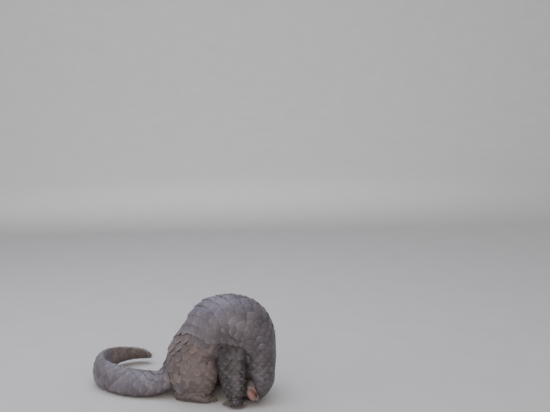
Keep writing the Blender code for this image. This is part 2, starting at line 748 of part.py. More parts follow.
def main():
    clear_scene()
    model = new_collection("pangolin")
    work = new_collection("work")
    materials = {name: new_material(name) for name in COLOURS}
    draw = random.Random(SEED)
    body = Sweep(BACKBONE)
    neck = body.station(NECK)
    rings = even_steps(0, neck, HEAD_RING_STEP) + even_steps(neck, body.length, BODY_RING_STEP)
    trunk = to_object(loft(body, rings, BODY_SIDES), "trunk", work)
    limbs = []
    for side, left in (("right", False), ("left", True)):
        for kind, leg, foot, table in (
            ("hind", HIND_LEG, HIND_FOOT, HIND_CLAWS),
            ("fore", FORELEG, FOREFOOT, FORE_CLAWS),
        ):
            limbs.append(make_limb(kind, leg, foot, table, side, left, body, work, draw))
    sweeps = [sweep for limb in limbs for sweep in limb[3]]
    plates = new_collection("plates")
    first, last = body.station(FIRST_ROW["body"]), body.station(LAST_ROW["body"])
    lay_plates(body, first, last, sweeps, plates, draw)
    join_collection(trunk, plates)
    bpy.data.collections.remove(plates)
    keep_largest(trunk)
    for limb in limbs:
        for room in limb[4]:
            cut(trunk, room)
            bpy.data.objects.remove(room, do_unlink=True)
    below = floor_cutter(work)
    for obj in [trunk] + [flesh for limb in limbs for flesh in (*limb[:2], *limb[2])]:
        cut(obj, below)
        keep_largest(obj)
    bpy.data.objects.remove(below, do_unlink=True)
    for number in PARTINGS:
        cutter = parting_cutter(body, number, work)
        cut(trunk, cutter)
        bpy.data.objects.remove(cutter, do_unlink=True)
    lengths = split_bodies(trunk, LEAST_LENGTH_VOLUME, work)
    lengths.sort(key=lambda piece: distance_along(body, piece))
    organs = dress_head(lengths[0], body, work)
    for piece, name in zip(lengths, LENGTHS, strict=True):
        finish_node(piece, name, materials["scales"], model)
    for organ in organs:
        finish_node(organ, organ.name, materials[organ.name.split("_")[0]], model)
    for leg, foot, horn, _, _ in limbs:
        finish_node(leg, leg.name, materials["scales"], model)
        finish_node(foot, foot.name, materials["skin"], model)
        for claw in horn:
            finish_node(claw, claw.name, materials["claw"], model)


main()
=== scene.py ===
# %% [markdown]
# # A sitting pangolin
# A pangolin is a mammal in a coat of horn plates. This lesson dresses a measured solid of one, life
# size and hunched over its tucked head. The frame is loaded first, because every later piece is
# placed from the same numbers as the solids, and nothing has to be fitted by eye.

# %% Load the measured model
import math

import bmesh
import bpy
import numpy as np
from mathutils import Matrix, Vector
from mathutils.bvhtree import BVHTree
from mathutils.kdtree import KDTree


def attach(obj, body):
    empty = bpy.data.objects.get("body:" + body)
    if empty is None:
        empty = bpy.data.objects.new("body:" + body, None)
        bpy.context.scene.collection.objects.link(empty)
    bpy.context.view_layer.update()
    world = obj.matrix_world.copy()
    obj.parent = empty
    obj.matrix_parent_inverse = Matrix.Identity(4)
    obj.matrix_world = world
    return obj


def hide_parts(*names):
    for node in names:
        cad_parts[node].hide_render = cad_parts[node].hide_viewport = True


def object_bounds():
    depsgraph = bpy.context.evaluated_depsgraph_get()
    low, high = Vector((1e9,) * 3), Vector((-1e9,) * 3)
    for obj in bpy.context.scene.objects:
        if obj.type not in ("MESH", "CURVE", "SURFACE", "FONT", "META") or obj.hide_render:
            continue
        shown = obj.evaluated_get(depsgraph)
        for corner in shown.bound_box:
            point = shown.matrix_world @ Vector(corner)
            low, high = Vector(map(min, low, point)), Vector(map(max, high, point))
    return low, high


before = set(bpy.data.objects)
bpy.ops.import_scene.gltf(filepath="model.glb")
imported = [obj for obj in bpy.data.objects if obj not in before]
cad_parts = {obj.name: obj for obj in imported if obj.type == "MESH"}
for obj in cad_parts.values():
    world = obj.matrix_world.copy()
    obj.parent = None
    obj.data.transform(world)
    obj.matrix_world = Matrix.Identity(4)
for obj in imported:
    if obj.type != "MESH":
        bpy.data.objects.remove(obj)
CAD_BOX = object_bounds()
print(len(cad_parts), "nodes, box", [[round(float(c), 3) for c in corner] for corner in CAD_BOX])

# %% [markdown]
# ## The camera
# The animal is seen from the right and from a little above, so its flank, haunch and tail show and
# the head lies at the lower edge. A Blender camera looks along its own -Z, so its matrix is built
# from the way to the right, the way up and the way back. A slight roll is part of the view.

# %% Place the camera
CAMERA_PLACE = Vector((0.83322, -2.32147, 0.86699))
CAMERA_TURN, CAMERA_DIP, CAMERA_ROLL = (math.radians(a) for a in (13.857, 8.937, -1.497))
FOCAL_LENGTH = 61.669
SENSOR_WIDTH = 36.0

ahead = Vector((-math.sin(CAMERA_TURN), math.cos(CAMERA_TURN), 0)) * math.cos(CAMERA_DIP)
ahead.z = -math.sin(CAMERA_DIP)
level = Vector((math.cos(CAMERA_TURN), math.sin(CAMERA_TURN), 0))
upright = level.cross(ahead)
right = level * math.cos(CAMERA_ROLL) + upright * math.sin(CAMERA_ROLL)
top = upright * math.cos(CAMERA_ROLL) - level * math.sin(CAMERA_ROLL)
lens = bpy.data.cameras.new("camera")
lens.lens = FOCAL_LENGTH
lens.sensor_width = SENSOR_WIDTH
lens.sensor_fit = "HORIZONTAL"
camera = bpy.data.objects.new("camera", lens)
camera.matrix_world = Matrix.Translation(CAMERA_PLACE) @ Matrix((right, top, -ahead)).transposed().to_4x4()
bpy.context.scene.collection.objects.link(camera)
bpy.context.scene.camera = camera
print("camera height", round(CAMERA_PLACE.z, 3))

# %% [markdown]
# ## Colours and nodes
# Colours are written as the hex codes of a colour picker, which are sRGB, while shaders count in
# linear light, so one function turns them. One small function adds a shader node, sets its
# options, and fills each of its inputs with a value or with a link. The inputs of a Mix node
# share their names with those of its other kinds, so they are told by number.

# %% Helpers for materials
SHARE, FIRST, SECOND, MIXED = 0, 6, 7, 2
COLOUR = {"data_type": "RGBA"}


def linear(code):
    """A hex colour such as #8899aa as linear red, green, blue and alpha."""
    channels = [int(code[k : k + 2], 16) / 255 for k in (1, 3, 5)]
    return tuple(c / 12.92 if c <= 0.04045 else ((c + 0.055) / 1.055) ** 2.4 for c in channels) + (1.0,)


def add_node(tree, kind, inputs=None, **settings):
    """A shader node with its settings, and its inputs filled with values or links."""
    node = tree.nodes.new("ShaderNode" + kind)
    for name, value in settings.items():
        setattr(node, name, value)
    for name, value in (inputs or {}).items():
        if isinstance(value, bpy.types.NodeSocket):
            tree.links.new(value, node.inputs[name])
        else:
            node.inputs[name].default_value = value
    return node


def new_finish(name):
    """A material with its shader, ready for more nodes."""
    material = bpy.data.materials.new(name)
    material.use_nodes = True
    return material, material.node_tree, material.node_tree.nodes["Principled BSDF"]


print("slate grey", [round(c, 3) for c in linear("#708090")])

# %% [markdown]
# ## Floor and light
# A studio cove is a floor that curves up into a wall, so no edge shows behind the animal. Here it
# is round, because the model is looked at from every side: one profile of floor, bend and wall is
# spun about the middle. The light is that of open shade: one broad cool lamp above and a little
# behind, two in front, and one that brightens the wall behind.

# %% Make the cove
COVE_RADIUS, COVE_BEND, COVE_HEIGHT = 7.0, 2.5, 6.0
BEND_STEPS, TURN_STEPS = 10, 72
cove = bmesh.new()
profile = [cove.verts.new((x, 0, 0)) for x in (0.0, 1.0, 2.5, COVE_RADIUS - COVE_BEND)]
for k in range(1, BEND_STEPS + 1):
    bend = math.pi / (2 * BEND_STEPS) * k
    spot = (COVE_RADIUS - COVE_BEND * (1 - math.sin(bend)), 0, COVE_BEND * (1 - math.cos(bend)))
    profile.append(cove.verts.new(spot))
profile.append(cove.verts.new((COVE_RADIUS, 0, COVE_HEIGHT)))
for first, second in zip(profile, profile[1:]):
    cove.edges.new((first, second))
bmesh.ops.spin(
    cove,
    geom=cove.verts[:] + cove.edges[:],
    cent=(0, 0, 0),
    axis=(0, 0, 1),
    angle=2 * math.pi,
    steps=TURN_STEPS,
    use_merge=True,
)
bmesh.ops.remove_doubles(cove, verts=cove.verts, dist=1e-5)
bmesh.ops.recalc_face_normals(cove, faces=cove.faces)
floor_mesh = bpy.data.meshes.new("floor")
cove.to_mesh(floor_mesh)
cove.free()
floor_mesh.shade_smooth()
floor = bpy.data.objects.new("floor", floor_mesh)
bpy.context.scene.collection.objects.link(floor)
print("cove radius", COVE_RADIUS)

# %% Finish the cove
# Painted plaster is matt, with a faint cloudiness of the brush.
plaster, tree, shader = new_finish("pale_studio_floor")
where = add_node(tree, "TexCoord").outputs["Object"]
speckle = add_node(tree, "TexNoise", {"Scale": 9.0, "Detail": 5.0, "Vector": where})
greyer, paler = linear("#c9c5c0"), linear("#d3d0cb")
cloudy = {SHARE: speckle.outputs["Fac"], FIRST: greyer, SECOND: paler}
tone = add_node(tree, "Mix", cloudy, **COLOUR).outputs[MIXED]
tree.links.new(tone, shader.inputs["Base Color"])
shader.inputs["Roughness"].default_value = 0.85
floor_mesh.materials.append(plaster)
print("floor colour", [round(c, 3) for c in paler[:3]])

# %% Set the lights
world = bpy.data.worlds.new("pale_sky")
world.use_nodes = True
bpy.context.scene.world = world
sky = world.node_tree.nodes["Background"]
sky.inputs["Color"].default_value = linear("#d8dde6")
sky.inputs["Strength"].default_value = 0.9

# Name, place, what it points at, side of the square, colour, watts.
LAMPS = (
    ("overhead", (-0.35, 0.35, 2.1), (0, 0, 0.1), 1.8, "#dfe6ff", 27.0),
    ("front_fill", (0.7, -2.6, 1.3), (0, 0, 0.1), 2.2, "#fff2ec", 38.0),
    ("left_fill", (-2.2, -1.2, 1.3), (0, 0, 0.1), 1.6, "#eef1ff", 14.0),
    ("wall_wash", (-1.0, 2.8, 2.6), (-1.8, 6.5, 1.6), 3.0, "#f4f6ff", 90.0),
)
for name, place, target, side, code, watts in LAMPS:
    lamp = bpy.data.lights.new(name, "AREA")
    lamp.size = side
    lamp.energy = watts
    lamp.color = linear(code)[:3]
    holder = bpy.data.objects.new(name, lamp)
    aim = (Vector(target) - Vector(place)).to_track_quat("-Z", "Y")
    holder.matrix_world = Matrix.Translation(place) @ aim.to_matrix().to_4x4()
    bpy.context.scene.collection.objects.link(holder)
print(len(LAMPS), "lamps")

# %% [markdown]
# ## The line of the body
# The whole animal, from the snout to the tip of the tail, is one oval section that changes as it
# travels along the backbone, and each leg and foot is another. The stations are the solids' own.
# Each gives a place, the way that the back faces, the half width, the height of the back, the
# depth of the belly, and how far round from the back the scales reach in degrees.

# %% Stations of the backbone and the limbs
BACKBONE = (
    ((0.1430, -0.0980, 0.0095), (0.30, 0, -0.95), 0.0060, 0.0055, 0.0050, 0),
    ((0.1510, -0.0980, 0.0115), (0.30, 0, -0.95), 0.0090, 0.0080, 0.0070, 0),
    ((0.1660, -0.0975, 0.0165), (0.30, 0, -0.95), 0.0130, 0.0110, 0.0100, 46),
    ((0.1830, -0.0975, 0.0225), (0.30, 0, -0.95), 0.0205, 0.0160, 0.0140, 52),
    ((0.2000, -0.0995, 0.0280), (0.32, 0, -0.95), 0.0280, 0.0230, 0.0225, 56),
    ((0.2170, -0.1010, 0.0350), (0.42, 0, -0.90), 0.0345, 0.0290, 0.0290, 62),
    ((0.2340, -0.094, 0.0530), (0.85, 0, -0.52), 0.0385, 0.0310, 0.0360, 122),
    ((0.2350, -0.080, 0.0860), (1.00, 0, -0.03), 0.0430, 0.0320, 0.0460, 158),
    ((0.2270, -0.066, 0.1240), (0.97, 0, 0.25), 0.0510, 0.0400, 0.0520, 156),
    ((0.2060, -0.057, 0.1610), (0.80, 0, 0.60), 0.0620, 0.0600, 0.0600, 150),
    ((0.1770, -0.055, 0.1870), (0.50, 0, 0.86), 0.0700, 0.0700, 0.0740, 150),
    ((0.1440, -0.055, 0.1940), (0.05, 0, 1.00), 0.0750, 0.0700, 0.0820, 146),
    ((0.1090, -0.055, 0.1830), (-0.45, 0, 0.89), 0.0780, 0.0720, 0.0840, 138),
    ((0.0750, -0.055, 0.1520), (-0.86, 0, 0.51), 0.0800, 0.0630, 0.0740, 138),
    ((0.0380, -0.058, 0.1040), (-0.89, 0, 0.45), 0.0760, 0.0600, 0.0600, 132),
    ((0.0010, -0.068, 0.0560), (-0.72, -0.12, 0.68), 0.0560, 0.0420, 0.0390, 130),
    ((-0.0380, -0.089, 0.0335), (-0.45, -0.30, 0.84), 0.0400, 0.0255, 0.0245, 180),
    ((-0.0860, -0.103, 0.0315), (-0.15, -0.64, 0.75), 0.0370, 0.0230, 0.0200, 180),
    ((-0.1360, -0.102, 0.0345), (-0.05, -0.88, 0.48), 0.0355, 0.0205, 0.0165, 180),
    ((-0.1850, -0.085, 0.0380), (-0.35, -0.90, 0.25), 0.0365, 0.0195, 0.0150, 180),
    ((-0.2250, -0.052, 0.0400), (-0.80, -0.55, 0.15), 0.0375, 0.0185, 0.0130, 180),
    ((-0.2440, -0.003, 0.0400), (-1.00, -0.05, 0.12), 0.0365, 0.0175, 0.0120, 180),
    ((-0.2480, 0.0500, 0.0380), (-0.98, 0.20, 0.26), 0.0340, 0.0160, 0.0115, 180),
    ((-0.2360, 0.1010, 0.0340), (-0.80, 0.60, 0.50), 0.0300, 0.0140, 0.0100, 180),
    ((-0.2070, 0.1370, 0.0300), (-0.35, 0.93, 0.75), 0.0255, 0.0115, 0.0085, 180),
    ((-0.1770, 0.1480, 0.0270), (-0.10, 0.99, 0.85), 0.0210, 0.0095, 0.0065, 180),
    ((-0.1630, 0.1460, 0.0255), (0.00, 1.00, 0.85), 0.0155, 0.0070, 0.0050, 180),
)
HIND_LEG = (
    ((0.0600, -0.086, 0.1560), (0, -1, 0.32), 0.0400, 0.0200, 0.0240, 112),
    ((0.0580, -0.097, 0.1360), (0, -1, 0.26), 0.0580, 0.0280, 0.0320, 112),
    ((0.0560, -0.106, 0.1050), (0, -1, 0.14), 0.0670, 0.0310, 0.0340, 112),
    ((0.0570, -0.112, 0.0680), (0, -1, 0.05), 0.0660, 0.0290, 0.0310, 110),
    ((0.0600, -0.115, 0.0380), (0, -1, 0.00), 0.0580, 0.0240, 0.0240, 106),
    ((0.0620, -0.117, 0.0200), (0, -1, 0.00), 0.0480, 0.0180, 0.0190, 100),
)
HIND_FOOT = (
    ((0.0160, -0.117, 0.0100), (0, 0, 1), 0.0120, 0.0100, 0.0120, 96),
    ((0.0300, -0.118, 0.0110), (0, 0, 1), 0.0190, 0.0130, 0.0130, 96),
    ((0.0600, -0.120, 0.0110), (0, 0, 1), 0.0210, 0.0140, 0.0130, 96),
    ((0.0900, -0.121, 0.0100), (0, 0, 1), 0.0230, 0.0110, 0.0120, 96),
    ((0.1030, -0.121, 0.0090), (0, 0, 1), 0.0210, 0.0080, 0.0110, 80),
)
FORELEG = (
    ((0.1700, -0.084, 0.1660), (0, -1, 0.25), 0.0360, 0.0190, 0.0200, 112),
    ((0.1690, -0.099, 0.1420), (0, -1, 0.22), 0.0470, 0.0260, 0.0280, 112),
    ((0.1690, -0.117, 0.1050), (0, -1, 0.18), 0.0400, 0.0250, 0.0260, 114),
    ((0.1720, -0.131, 0.0700), (0, -1, 0.12), 0.0330, 0.0210, 0.0220, 116),
    ((0.1780, -0.143, 0.0430), (0, -1, 0.05), 0.0270, 0.0170, 0.0160, 116),
    ((0.1815, -0.1466, 0.0300), (0, -1, 0.03), 0.0230, 0.0145, 0.0135, 112),
)
FOREFOOT = (
    ((0.2010, -0.148, 0.0120), (0, 0, 1), 0.0110, 0.0100, 0.0130, 100),
    ((0.1950, -0.148, 0.0130), (0, 0, 1), 0.0170, 0.0130, 0.0140, 100),
    ((0.1840, -0.148, 0.0130), (0, 0, 1), 0.0200, 0.0130, 0.0140, 100),
    ((0.1740, -0.148, 0.0110), (0, 0, 1), 0.0190, 0.0100, 0.0120, 80),
    ((0.1690, -0.148, 0.0100), (0, 0, 1), 0.0150, 0.0070, 0.0100, 60),
)
MIDPLANE = -0.055
FLOOR = 0.0
print(len(BACKBONE), "stations along the backbone")

# %% [markdown]
# ## A section carried along a line
# A leather worker would stretch a hide over an armature. Here a class keeps the armature: it runs
# a smooth curve through the stations, and can say where the skin lies at any distance along and
# any angle round. Everything is kept as arrays, so thousands of points are placed in one step. A
# row of its table holds the place, the ways along, to the back and to the side, the half width,
# how high the back and how deep the belly lie, the reach of the scales, and how far a rounded
# end has shrunk.

# %% Name the columns of the table
PLACE, ALONG, BACK, SIDE = slice(0, 3), slice(3, 6), slice(6, 9), slice(9, 12)
HALF_WIDTH, HIGH, DEEP, REACH, SHRINK = range(12, 17)


def unit(vectors):
    """The same directions, with a length of one."""
    return vectors / np.linalg.norm(vectors, axis=-1, keepdims=True)


print("a row has", SHRINK + 1, "columns")


# %% The class that carries a section along
class BodyLine:
    """An oval section carried along a smooth line, with rounded ends."""

    DOME, DOME_STEPS = 0.75, 12
    STEP, LEAST_STEPS = 0.0015, 60
    SIDE_STEP, LEAST_RUN = 0.002, 0.35
    ROUND_STEPS = 289
    SLICE, LEAST_SLICES, SLAB = 0.008, 8, 0.010

    def __init__(self, stations, left=False):
        rows = np.array([[*s[0], *s[1], *s[2:]] for s in stations], float)
        if left:
            rows[:, 1] = 2 * MIDPLANE - rows[:, 1]
            rows[:, 4] *= -1
        steps = np.linalg.norm(np.diff(rows[:, :3], axis=0), axis=1)
        self.rows = rows
        self.knots = np.concatenate([[0.0], np.cumsum(steps)])
        self.length = float(self.knots[-1])
        self.slopes = np.gradient(rows, self.knots, axis=0)
        ends = self.rows_at(np.array([0.0, self.length]))
        domes = [self.DOME * row[6:8].min() for row in ends]
        quarter = np.linspace(0, math.pi / 2, self.DOME_STEPS)[1:]
        middle = np.linspace(0, self.length, max(self.LEAST_STEPS, int(self.length / self.STEP)))
        before = -domes[0] * np.sin(quarter[::-1])
        self.s = np.concatenate([before, middle, self.length + domes[1] * np.sin(quarter)])
        inside = np.clip(self.s, 0, self.length)
        row = self.rows_at(inside)
        ahead, behind = self.rows_at(inside + self.SIDE_STEP), self.rows_at(inside - self.SIDE_STEP)
        along = unit(ahead[:, :3] - behind[:, :3])
        back = unit(row[:, 3:6] - along * (row[:, 3:6] * along).sum(axis=1)[:, None])
        past_end = np.maximum(self.s - self.length, 0) / domes[1]
        beyond = np.where(self.s < 0, -self.s / domes[0], past_end)
        shrink = np.sqrt(np.maximum(1 - beyond**2, 0))[:, None]
        place = row[:, :3] + along * (self.s - inside)[:, None]
        sizes, reach = row[:, 6:9] * shrink, row[:, 9:10]
        self.table = np.hstack([place, along, back, np.cross(along, back), sizes, reach, shrink])

    def rows_at(self, s):
        """The stations' own values, carried smoothly from one to the next."""
        s = np.clip(s, 0, self.length)
        i = np.clip(np.searchsorted(self.knots, s, "right") - 1, 0, len(self.knots) - 2)
        span = (self.knots[i + 1] - self.knots[i])[:, None]
        t = (s - self.knots[i])[:, None] / span
        row = (1 + 2 * t) * (1 - t) ** 2 * self.rows[i] + t * t * (3 - 2 * t) * self.rows[i + 1]
        return row + span * (t * (1 - t) ** 2 * self.slopes[i] + t * t * (t - 1) * self.slopes[i + 1])

    def station(self, number):
        """The distance along at a station, or between two."""
        return float(np.interp(number, range(len(self.knots)), self.knots))

    def at(self, s):
        """The row of the table at each distance along."""
        s = np.asarray(s, float)
        flat = s.ravel()
        i = np.clip(np.searchsorted(self.s, flat) - 1, 0, len(self.s) - 2)
        t = np.clip((flat - self.s[i]) / (self.s[i + 1] - self.s[i]), 0, 1)[:, None]
        return (self.table[i] * (1 - t) + self.table[i + 1] * t).reshape(s.shape + (-1,))

    def skin(self, s, angle, lift=0.0):
        """Points of the surface, at distances along and angles round from the back."""
        row = self.at(s)
        high = np.where(np.cos(angle) > 0, row[..., HIGH], row[..., DEEP])
        across = (row[..., HALF_WIDTH] + lift) * np.sin(angle)
        up = (high + lift) * np.cos(angle)
        return row[..., PLACE] + row[..., SIDE] * across[..., None] + row[..., BACK] * up[..., None]

    def run(self, s, angle):
        """How far the surface runs for a metre along the line."""
        s, angle = np.asarray(s, float), np.asarray(angle, float)
        step = self.SIDE_STEP
        far = np.linalg.norm(self.skin(s + step, angle) - self.skin(s - step, angle), axis=-1)
        return np.maximum(far / (2 * step), self.LEAST_RUN)

    def round_table(self, s):
        """Angles round one section, over two turns either way, and the distances round to them."""
        angles = np.linspace(-2 * math.pi, 2 * math.pi, self.ROUND_STEPS)
        points = self.skin(np.full_like(angles, s), angles)
        steps = np.linalg.norm(np.diff(points, axis=0), axis=1)
        distances = np.concatenate([[0], np.cumsum(steps)])
        return angles, distances - np.interp(0.0, angles, distances)

    def depth(self, points):
        """About how far points lie inside the form, or outside it if negative."""
        best = np.full(len(points), -1.0)
        slices = max(self.LEAST_SLICES, int(self.length / self.SLICE))
        for row in self.at(np.linspace(0, self.length, slices)):
            offset = points - row[PLACE]
            up = offset @ row[BACK]
            high = np.where(up > 0, row[HIGH], row[DEEP])
            reach = np.hypot(offset @ row[SIDE] / row[HALF_WIDTH], up / high)
            inside = (1 - reach) * np.minimum(row[HALF_WIDTH], high)
            level = np.abs(offset @ row[ALONG]) < self.SLAB
            best = np.where(level, np.maximum(best, inside), best)
        return best


body = BodyLine(BACKBONE)
SIDES = (("right", False), ("left", True))
LIMBS = {"hind": (HIND_LEG, HIND_FOOT), "fore": (FORELEG, FOREFOOT)}
legs, feet = {}, {}
for kind, (leg_stations, foot_stations) in LIMBS.items():
    for side, left in SIDES:
        legs[kind, side] = BodyLine(leg_stations, left)
        feet[kind, side] = BodyLine(foot_stations, left)
print("backbone", round(body.length, 3), "m, legs", [round(leg.length, 3) for leg in legs.values()])

# %% [markdown]
# ## Forms of flesh
# The skin starts as rounded forms: the trunk, four legs and four feet. Each could be lofted ring
# by ring. It is simpler to take a ready sphere, whose rings and poles are already closed, and to
# move its rings onto the line of the body.


# %% Make the forms
DOME_RINGS = 6
TRUNK_NET, LEG_NET, FOOT_NET = (72, 420), (48, 60), (40, 44)
SKIN_UNDER = -0.0012


def swept_form(line, sides, rings, lift=0.0):
    """A sphere moved onto a line, its poles at the two ends."""
    mesh = bmesh.new()
    bmesh.ops.create_uvsphere(mesh, u_segments=sides, v_segments=rings, radius=1.0)
    spots = np.array([vert.co for vert in mesh.verts])
    ring = np.rint(np.arccos(np.clip(-spots[:, 2], -1, 1)) / math.pi * rings).astype(int)
    dome = np.sin(np.linspace(0, math.pi / 2, DOME_RINGS))
    before, after = line.s[0] * dome[::-1], line.length + (line.s[-1] - line.length) * dome
    between = np.linspace(0, line.length, rings + 3 - 2 * len(dome))[1:-1]
    s = np.concatenate([before, between, after])[ring]
    angle = np.arctan2(spots[:, 1], spots[:, 0])
    placed = line.skin(s, angle, lift * line.at(s)[:, SHRINK])
    for vert, spot in zip(mesh.verts, placed):
        vert.co = spot
    bmesh.ops.recalc_face_normals(mesh, faces=mesh.faces)
    return mesh


def keep(mesh, name):
    """Turns a bmesh into an object at the origin, in the scene."""
    data = bpy.data.meshes.new(name)
    mesh.to_mesh(data)
    mesh.free()
    obj = bpy.data.objects.new(name, data)
    bpy.context.scene.collection.objects.link(obj)
    return obj


flesh = [keep(swept_form(body, *TRUNK_NET, SKIN_UNDER), "trunk_form")]
for (kind, side), line in legs.items():
    flesh.append(keep(swept_form(line, *LEG_NET, SKIN_UNDER), f"{kind}_leg_form_{side}"))
for (kind, side), line in feet.items():
    flesh.append(keep(swept_form(line, *FOOT_NET), f"{kind}_foot_form_{side}"))
print(len(flesh), "forms")

# %% [markdown]
# ## Claws
# The five claws of each foot are horn sheaths, deep, narrow and bent, and the middle ones of the
# forefoot dig. They grow from the toes, so they come before the toes. Each is a sphere moved onto
# a short bent line of its own, pointed at one end.

# %% Sizes of the claws
CLAW_NAMES = ("inner", "second", "middle", "fourth", "outer")
# Root of the middle claw, distance from claw to claw, length, how far each next root is set
# back, and the way they point. Then each claw's share of the length, and its radius.
CLAW_FEET = {
    "fore": (
        ((0.1770, -0.148, 0.0115), 0.0084, 0.031, 0.0012, -1),
        ((0.50, 0.0038), (0.85, 0.0052), (1.0, 0.0058), (0.80, 0.0050), (0.45, 0.0036)),
    ),
    "hind": (
        ((0.1050, -0.121, 0.0085), 0.0088, 0.022, 0.0032, 1),
        ((0.70, 0.0034), (0.95, 0.0040), (1.0, 0.0042), (0.95, 0.0040), (0.65, 0.0034)),
    ),
}
CLAW_BEND, CLAW_DROP = (0.55, 0.12), 0.24
CLAW_SHARES = ((0.0, 0.95), (0.25, 1.0), (0.5, 0.82), (0.75, 0.55), (1.0, 0.16))
CLAW_NARROW, CLAW_NET, CLAW_UNDER = 0.72, (20, 32), -0.0001
print("longest claw", CLAW_FEET["fore"][0][2], "m")

# %% Make the claws
claws = {}
toes = []
for kind, ((root_at, apart, length, set_back, points), sizes) in CLAW_FEET.items():
    for side, left in SIDES:
        for number, (share, radius) in enumerate(sizes):
            x, y, z = root_at
            y += (2 - number) * apart
            if left:
                y = 2 * MIDPLANE - y
            root = Vector((x - points * set_back * abs(number - 2), y, z))
            bent_on = points * CLAW_BEND[0] * length * share
            middle = root + Vector((bent_on, 0, CLAW_BEND[1] * length * share))
            tip = root + Vector((points * length * share, 0, -CLAW_DROP * length * share))
            stations = []
            for t, thick in CLAW_SHARES:
                place = root.lerp(middle, t).lerp(middle.lerp(tip, t), t)
                high = radius * thick
                stations.append((tuple(place), (0, 0, 1), radius * CLAW_NARROW * thick, high, high, 0))
            horn_form = swept_form(BodyLine(stations), *CLAW_NET, CLAW_UNDER)
            which = f"{CLAW_NAMES[number]}_{side}"
            claws[f"{kind}_claw_{which}"] = keep(horn_form, f"{kind}_horn_{which}")
            toes.append((root, radius, points))
for claw in claws.values():
    for polygon in claw.data.polygons:
        polygon.use_smooth = True
print(len(claws), "claws")

# %% [markdown]
# ## Toes, lids, lips and ears
# Small forms of flesh sit on the large ones: a knuckle round the root of each claw, a ring of
# lid round each eye, the lips under the snout and the folded ear. They are closed spheres and
# rings, stretched and set against the head, and all of them become one skin in the next step.


# %% Find places on the head
def side_frame(station, degrees, left):
    """A point of the head's side, with the ways along, up to the crown and outwards."""
    s = body.station(station)
    angle = math.radians(degrees) * (1 if left else -1)
    point = Vector(body.skin(np.array(s), np.array(angle)))
    row = body.at(s)
    place, along = Vector(row[PLACE]), Vector(row[ALONG])
    out = point - place
    out = (out - along * out.dot(along)).normalized()
    up = out.cross(along)
    return point, (along, up if left else -up, out)


def axes_at(row):
    """The ways along, to the back and to the side that a row of the table gives."""
    return Vector(row[ALONG]), Vector(row[BACK]), Vector(row[SIDE])


def shifted(point, axes, offsets):
    """A point moved along each of three directions."""
    return point + sum((axis * offset for axis, offset in zip(axes, offsets)), Vector())


print("middle of the body", [round(c, 3) for c in Vector(body.at(body.length / 2)[PLACE])])


# %% Shapes of the small forms
CORD_SIDES, CORD_STEPS = 14, 40
WORLD_AXES = (Vector((1, 0, 0)), Vector((0, 1, 0)), Vector((0, 0, 1)))


def ball(place, sizes, axes, name, segments=32, rings=20):
    """A sphere stretched to three half sizes along three directions."""
    mesh = bmesh.new()
    turn = Matrix(axes).transposed().to_4x4()
    matrix = Matrix.Translation(place) @ turn @ Matrix.Diagonal((*sizes, 1.0))
    bmesh.ops.create_uvsphere(mesh, u_segments=segments, v_segments=rings, radius=1.0, matrix=matrix)
    bmesh.ops.recalc_face_normals(mesh, faces=mesh.faces)
    return keep(mesh, name)


def ring_form(place, axes, radii, thick, name, start=0.0, sweep=2 * math.pi):
    """A rounded cord bent round in an oval, whole or in part, seen along the third direction."""
    mesh = bmesh.new()
    whole = sweep >= 2 * math.pi
    stand = Matrix.Translation((1, 0, 0)) @ Matrix.Rotation(math.pi / 2, 4, "X")
    section = {"cap_ends": not whole, "segments": CORD_SIDES, "radius": thick, "matrix": stand}
    made = bmesh.ops.create_circle(mesh, **section)
    to_middle = Matrix.Translation((-1, 0, 0))
    bmesh.ops.scale(mesh, vec=(1 / radii[0], 1, 1), space=to_middle, verts=made["verts"])
    bmesh.ops.rotate(mesh, cent=(0, 0, 0), matrix=Matrix.Rotation(start, 3, "Z"), verts=mesh.verts)
    bmesh.ops.spin(
        mesh,
        geom=mesh.verts[:] + mesh.edges[:] + mesh.faces[:],
        cent=(0, 0, 0),
        axis=(0, 0, 1),
        angle=sweep,
        steps=CORD_STEPS,
        use_merge=whole,
    )
    if not whole:
        bmesh.ops.remove_doubles(mesh, verts=mesh.verts, dist=1e-6)
    turn = Matrix(axes).transposed().to_4x4()
    matrix = Matrix.Translation(place) @ turn @ Matrix.Diagonal((radii[0], radii[1], 1.0, 1.0))
    bmesh.ops.transform(mesh, matrix=matrix, verts=mesh.verts)
    bmesh.ops.recalc_face_normals(mesh, faces=mesh.faces)
    return keep(mesh, name)


print(CORD_SIDES * CORD_STEPS, "faces in a ring")

# %% Places and sizes of the small forms
# Eye and ear: the station along the head, and the degrees round from the back.
EYE, EYE_SUNK = (3.25, 80), 0.0022
EAR = (5.05, 83)
# Each fold of the ear: where it sits along, up and outwards, and its half sizes.
EAR_FORMS = (
    ("ear_bed", (0.0, 0.0, -0.0020), (0.0145, 0.0195, 0.0060)),
    ("ear_lobe", (-0.0060, 0.0010, 0.0040), (0.0075, 0.0175, 0.0062)),
    ("ear_fold_upper", (-0.0078, 0.0080, 0.0072), (0.0040, 0.0072, 0.0030)),
    ("ear_fold_lower", (-0.0062, -0.0062, 0.0078), (0.0042, 0.0076, 0.0028)),
)
EAR_RIM_AT, EAR_RIM_RADII, EAR_RIM_THICK = (0.0010, 0.0, 0.0046), (0.0112, 0.0180), 0.0028
EAR_RIM_START, EAR_RIM_SWEEP = -1.75, 3.5
LID_AT, LID_RADII, LID_THICK = (0, 0, -0.0006), (0.0060, 0.0046), 0.0016
NECK_FOLD = (7.0, 150)
NECK_FOLD_AT, NECK_FOLD_SIZES = (0, 0, -0.006), (0.0340, 0.0190, 0.0165)
KNUCKLE_BACK, KNUCKLE_DOWN = 0.0055, 0.0006
KNUCKLE_LONG, KNUCKLE_WIDE, KNUCKLE_HIGH = 0.0095, 1.12, 1.30
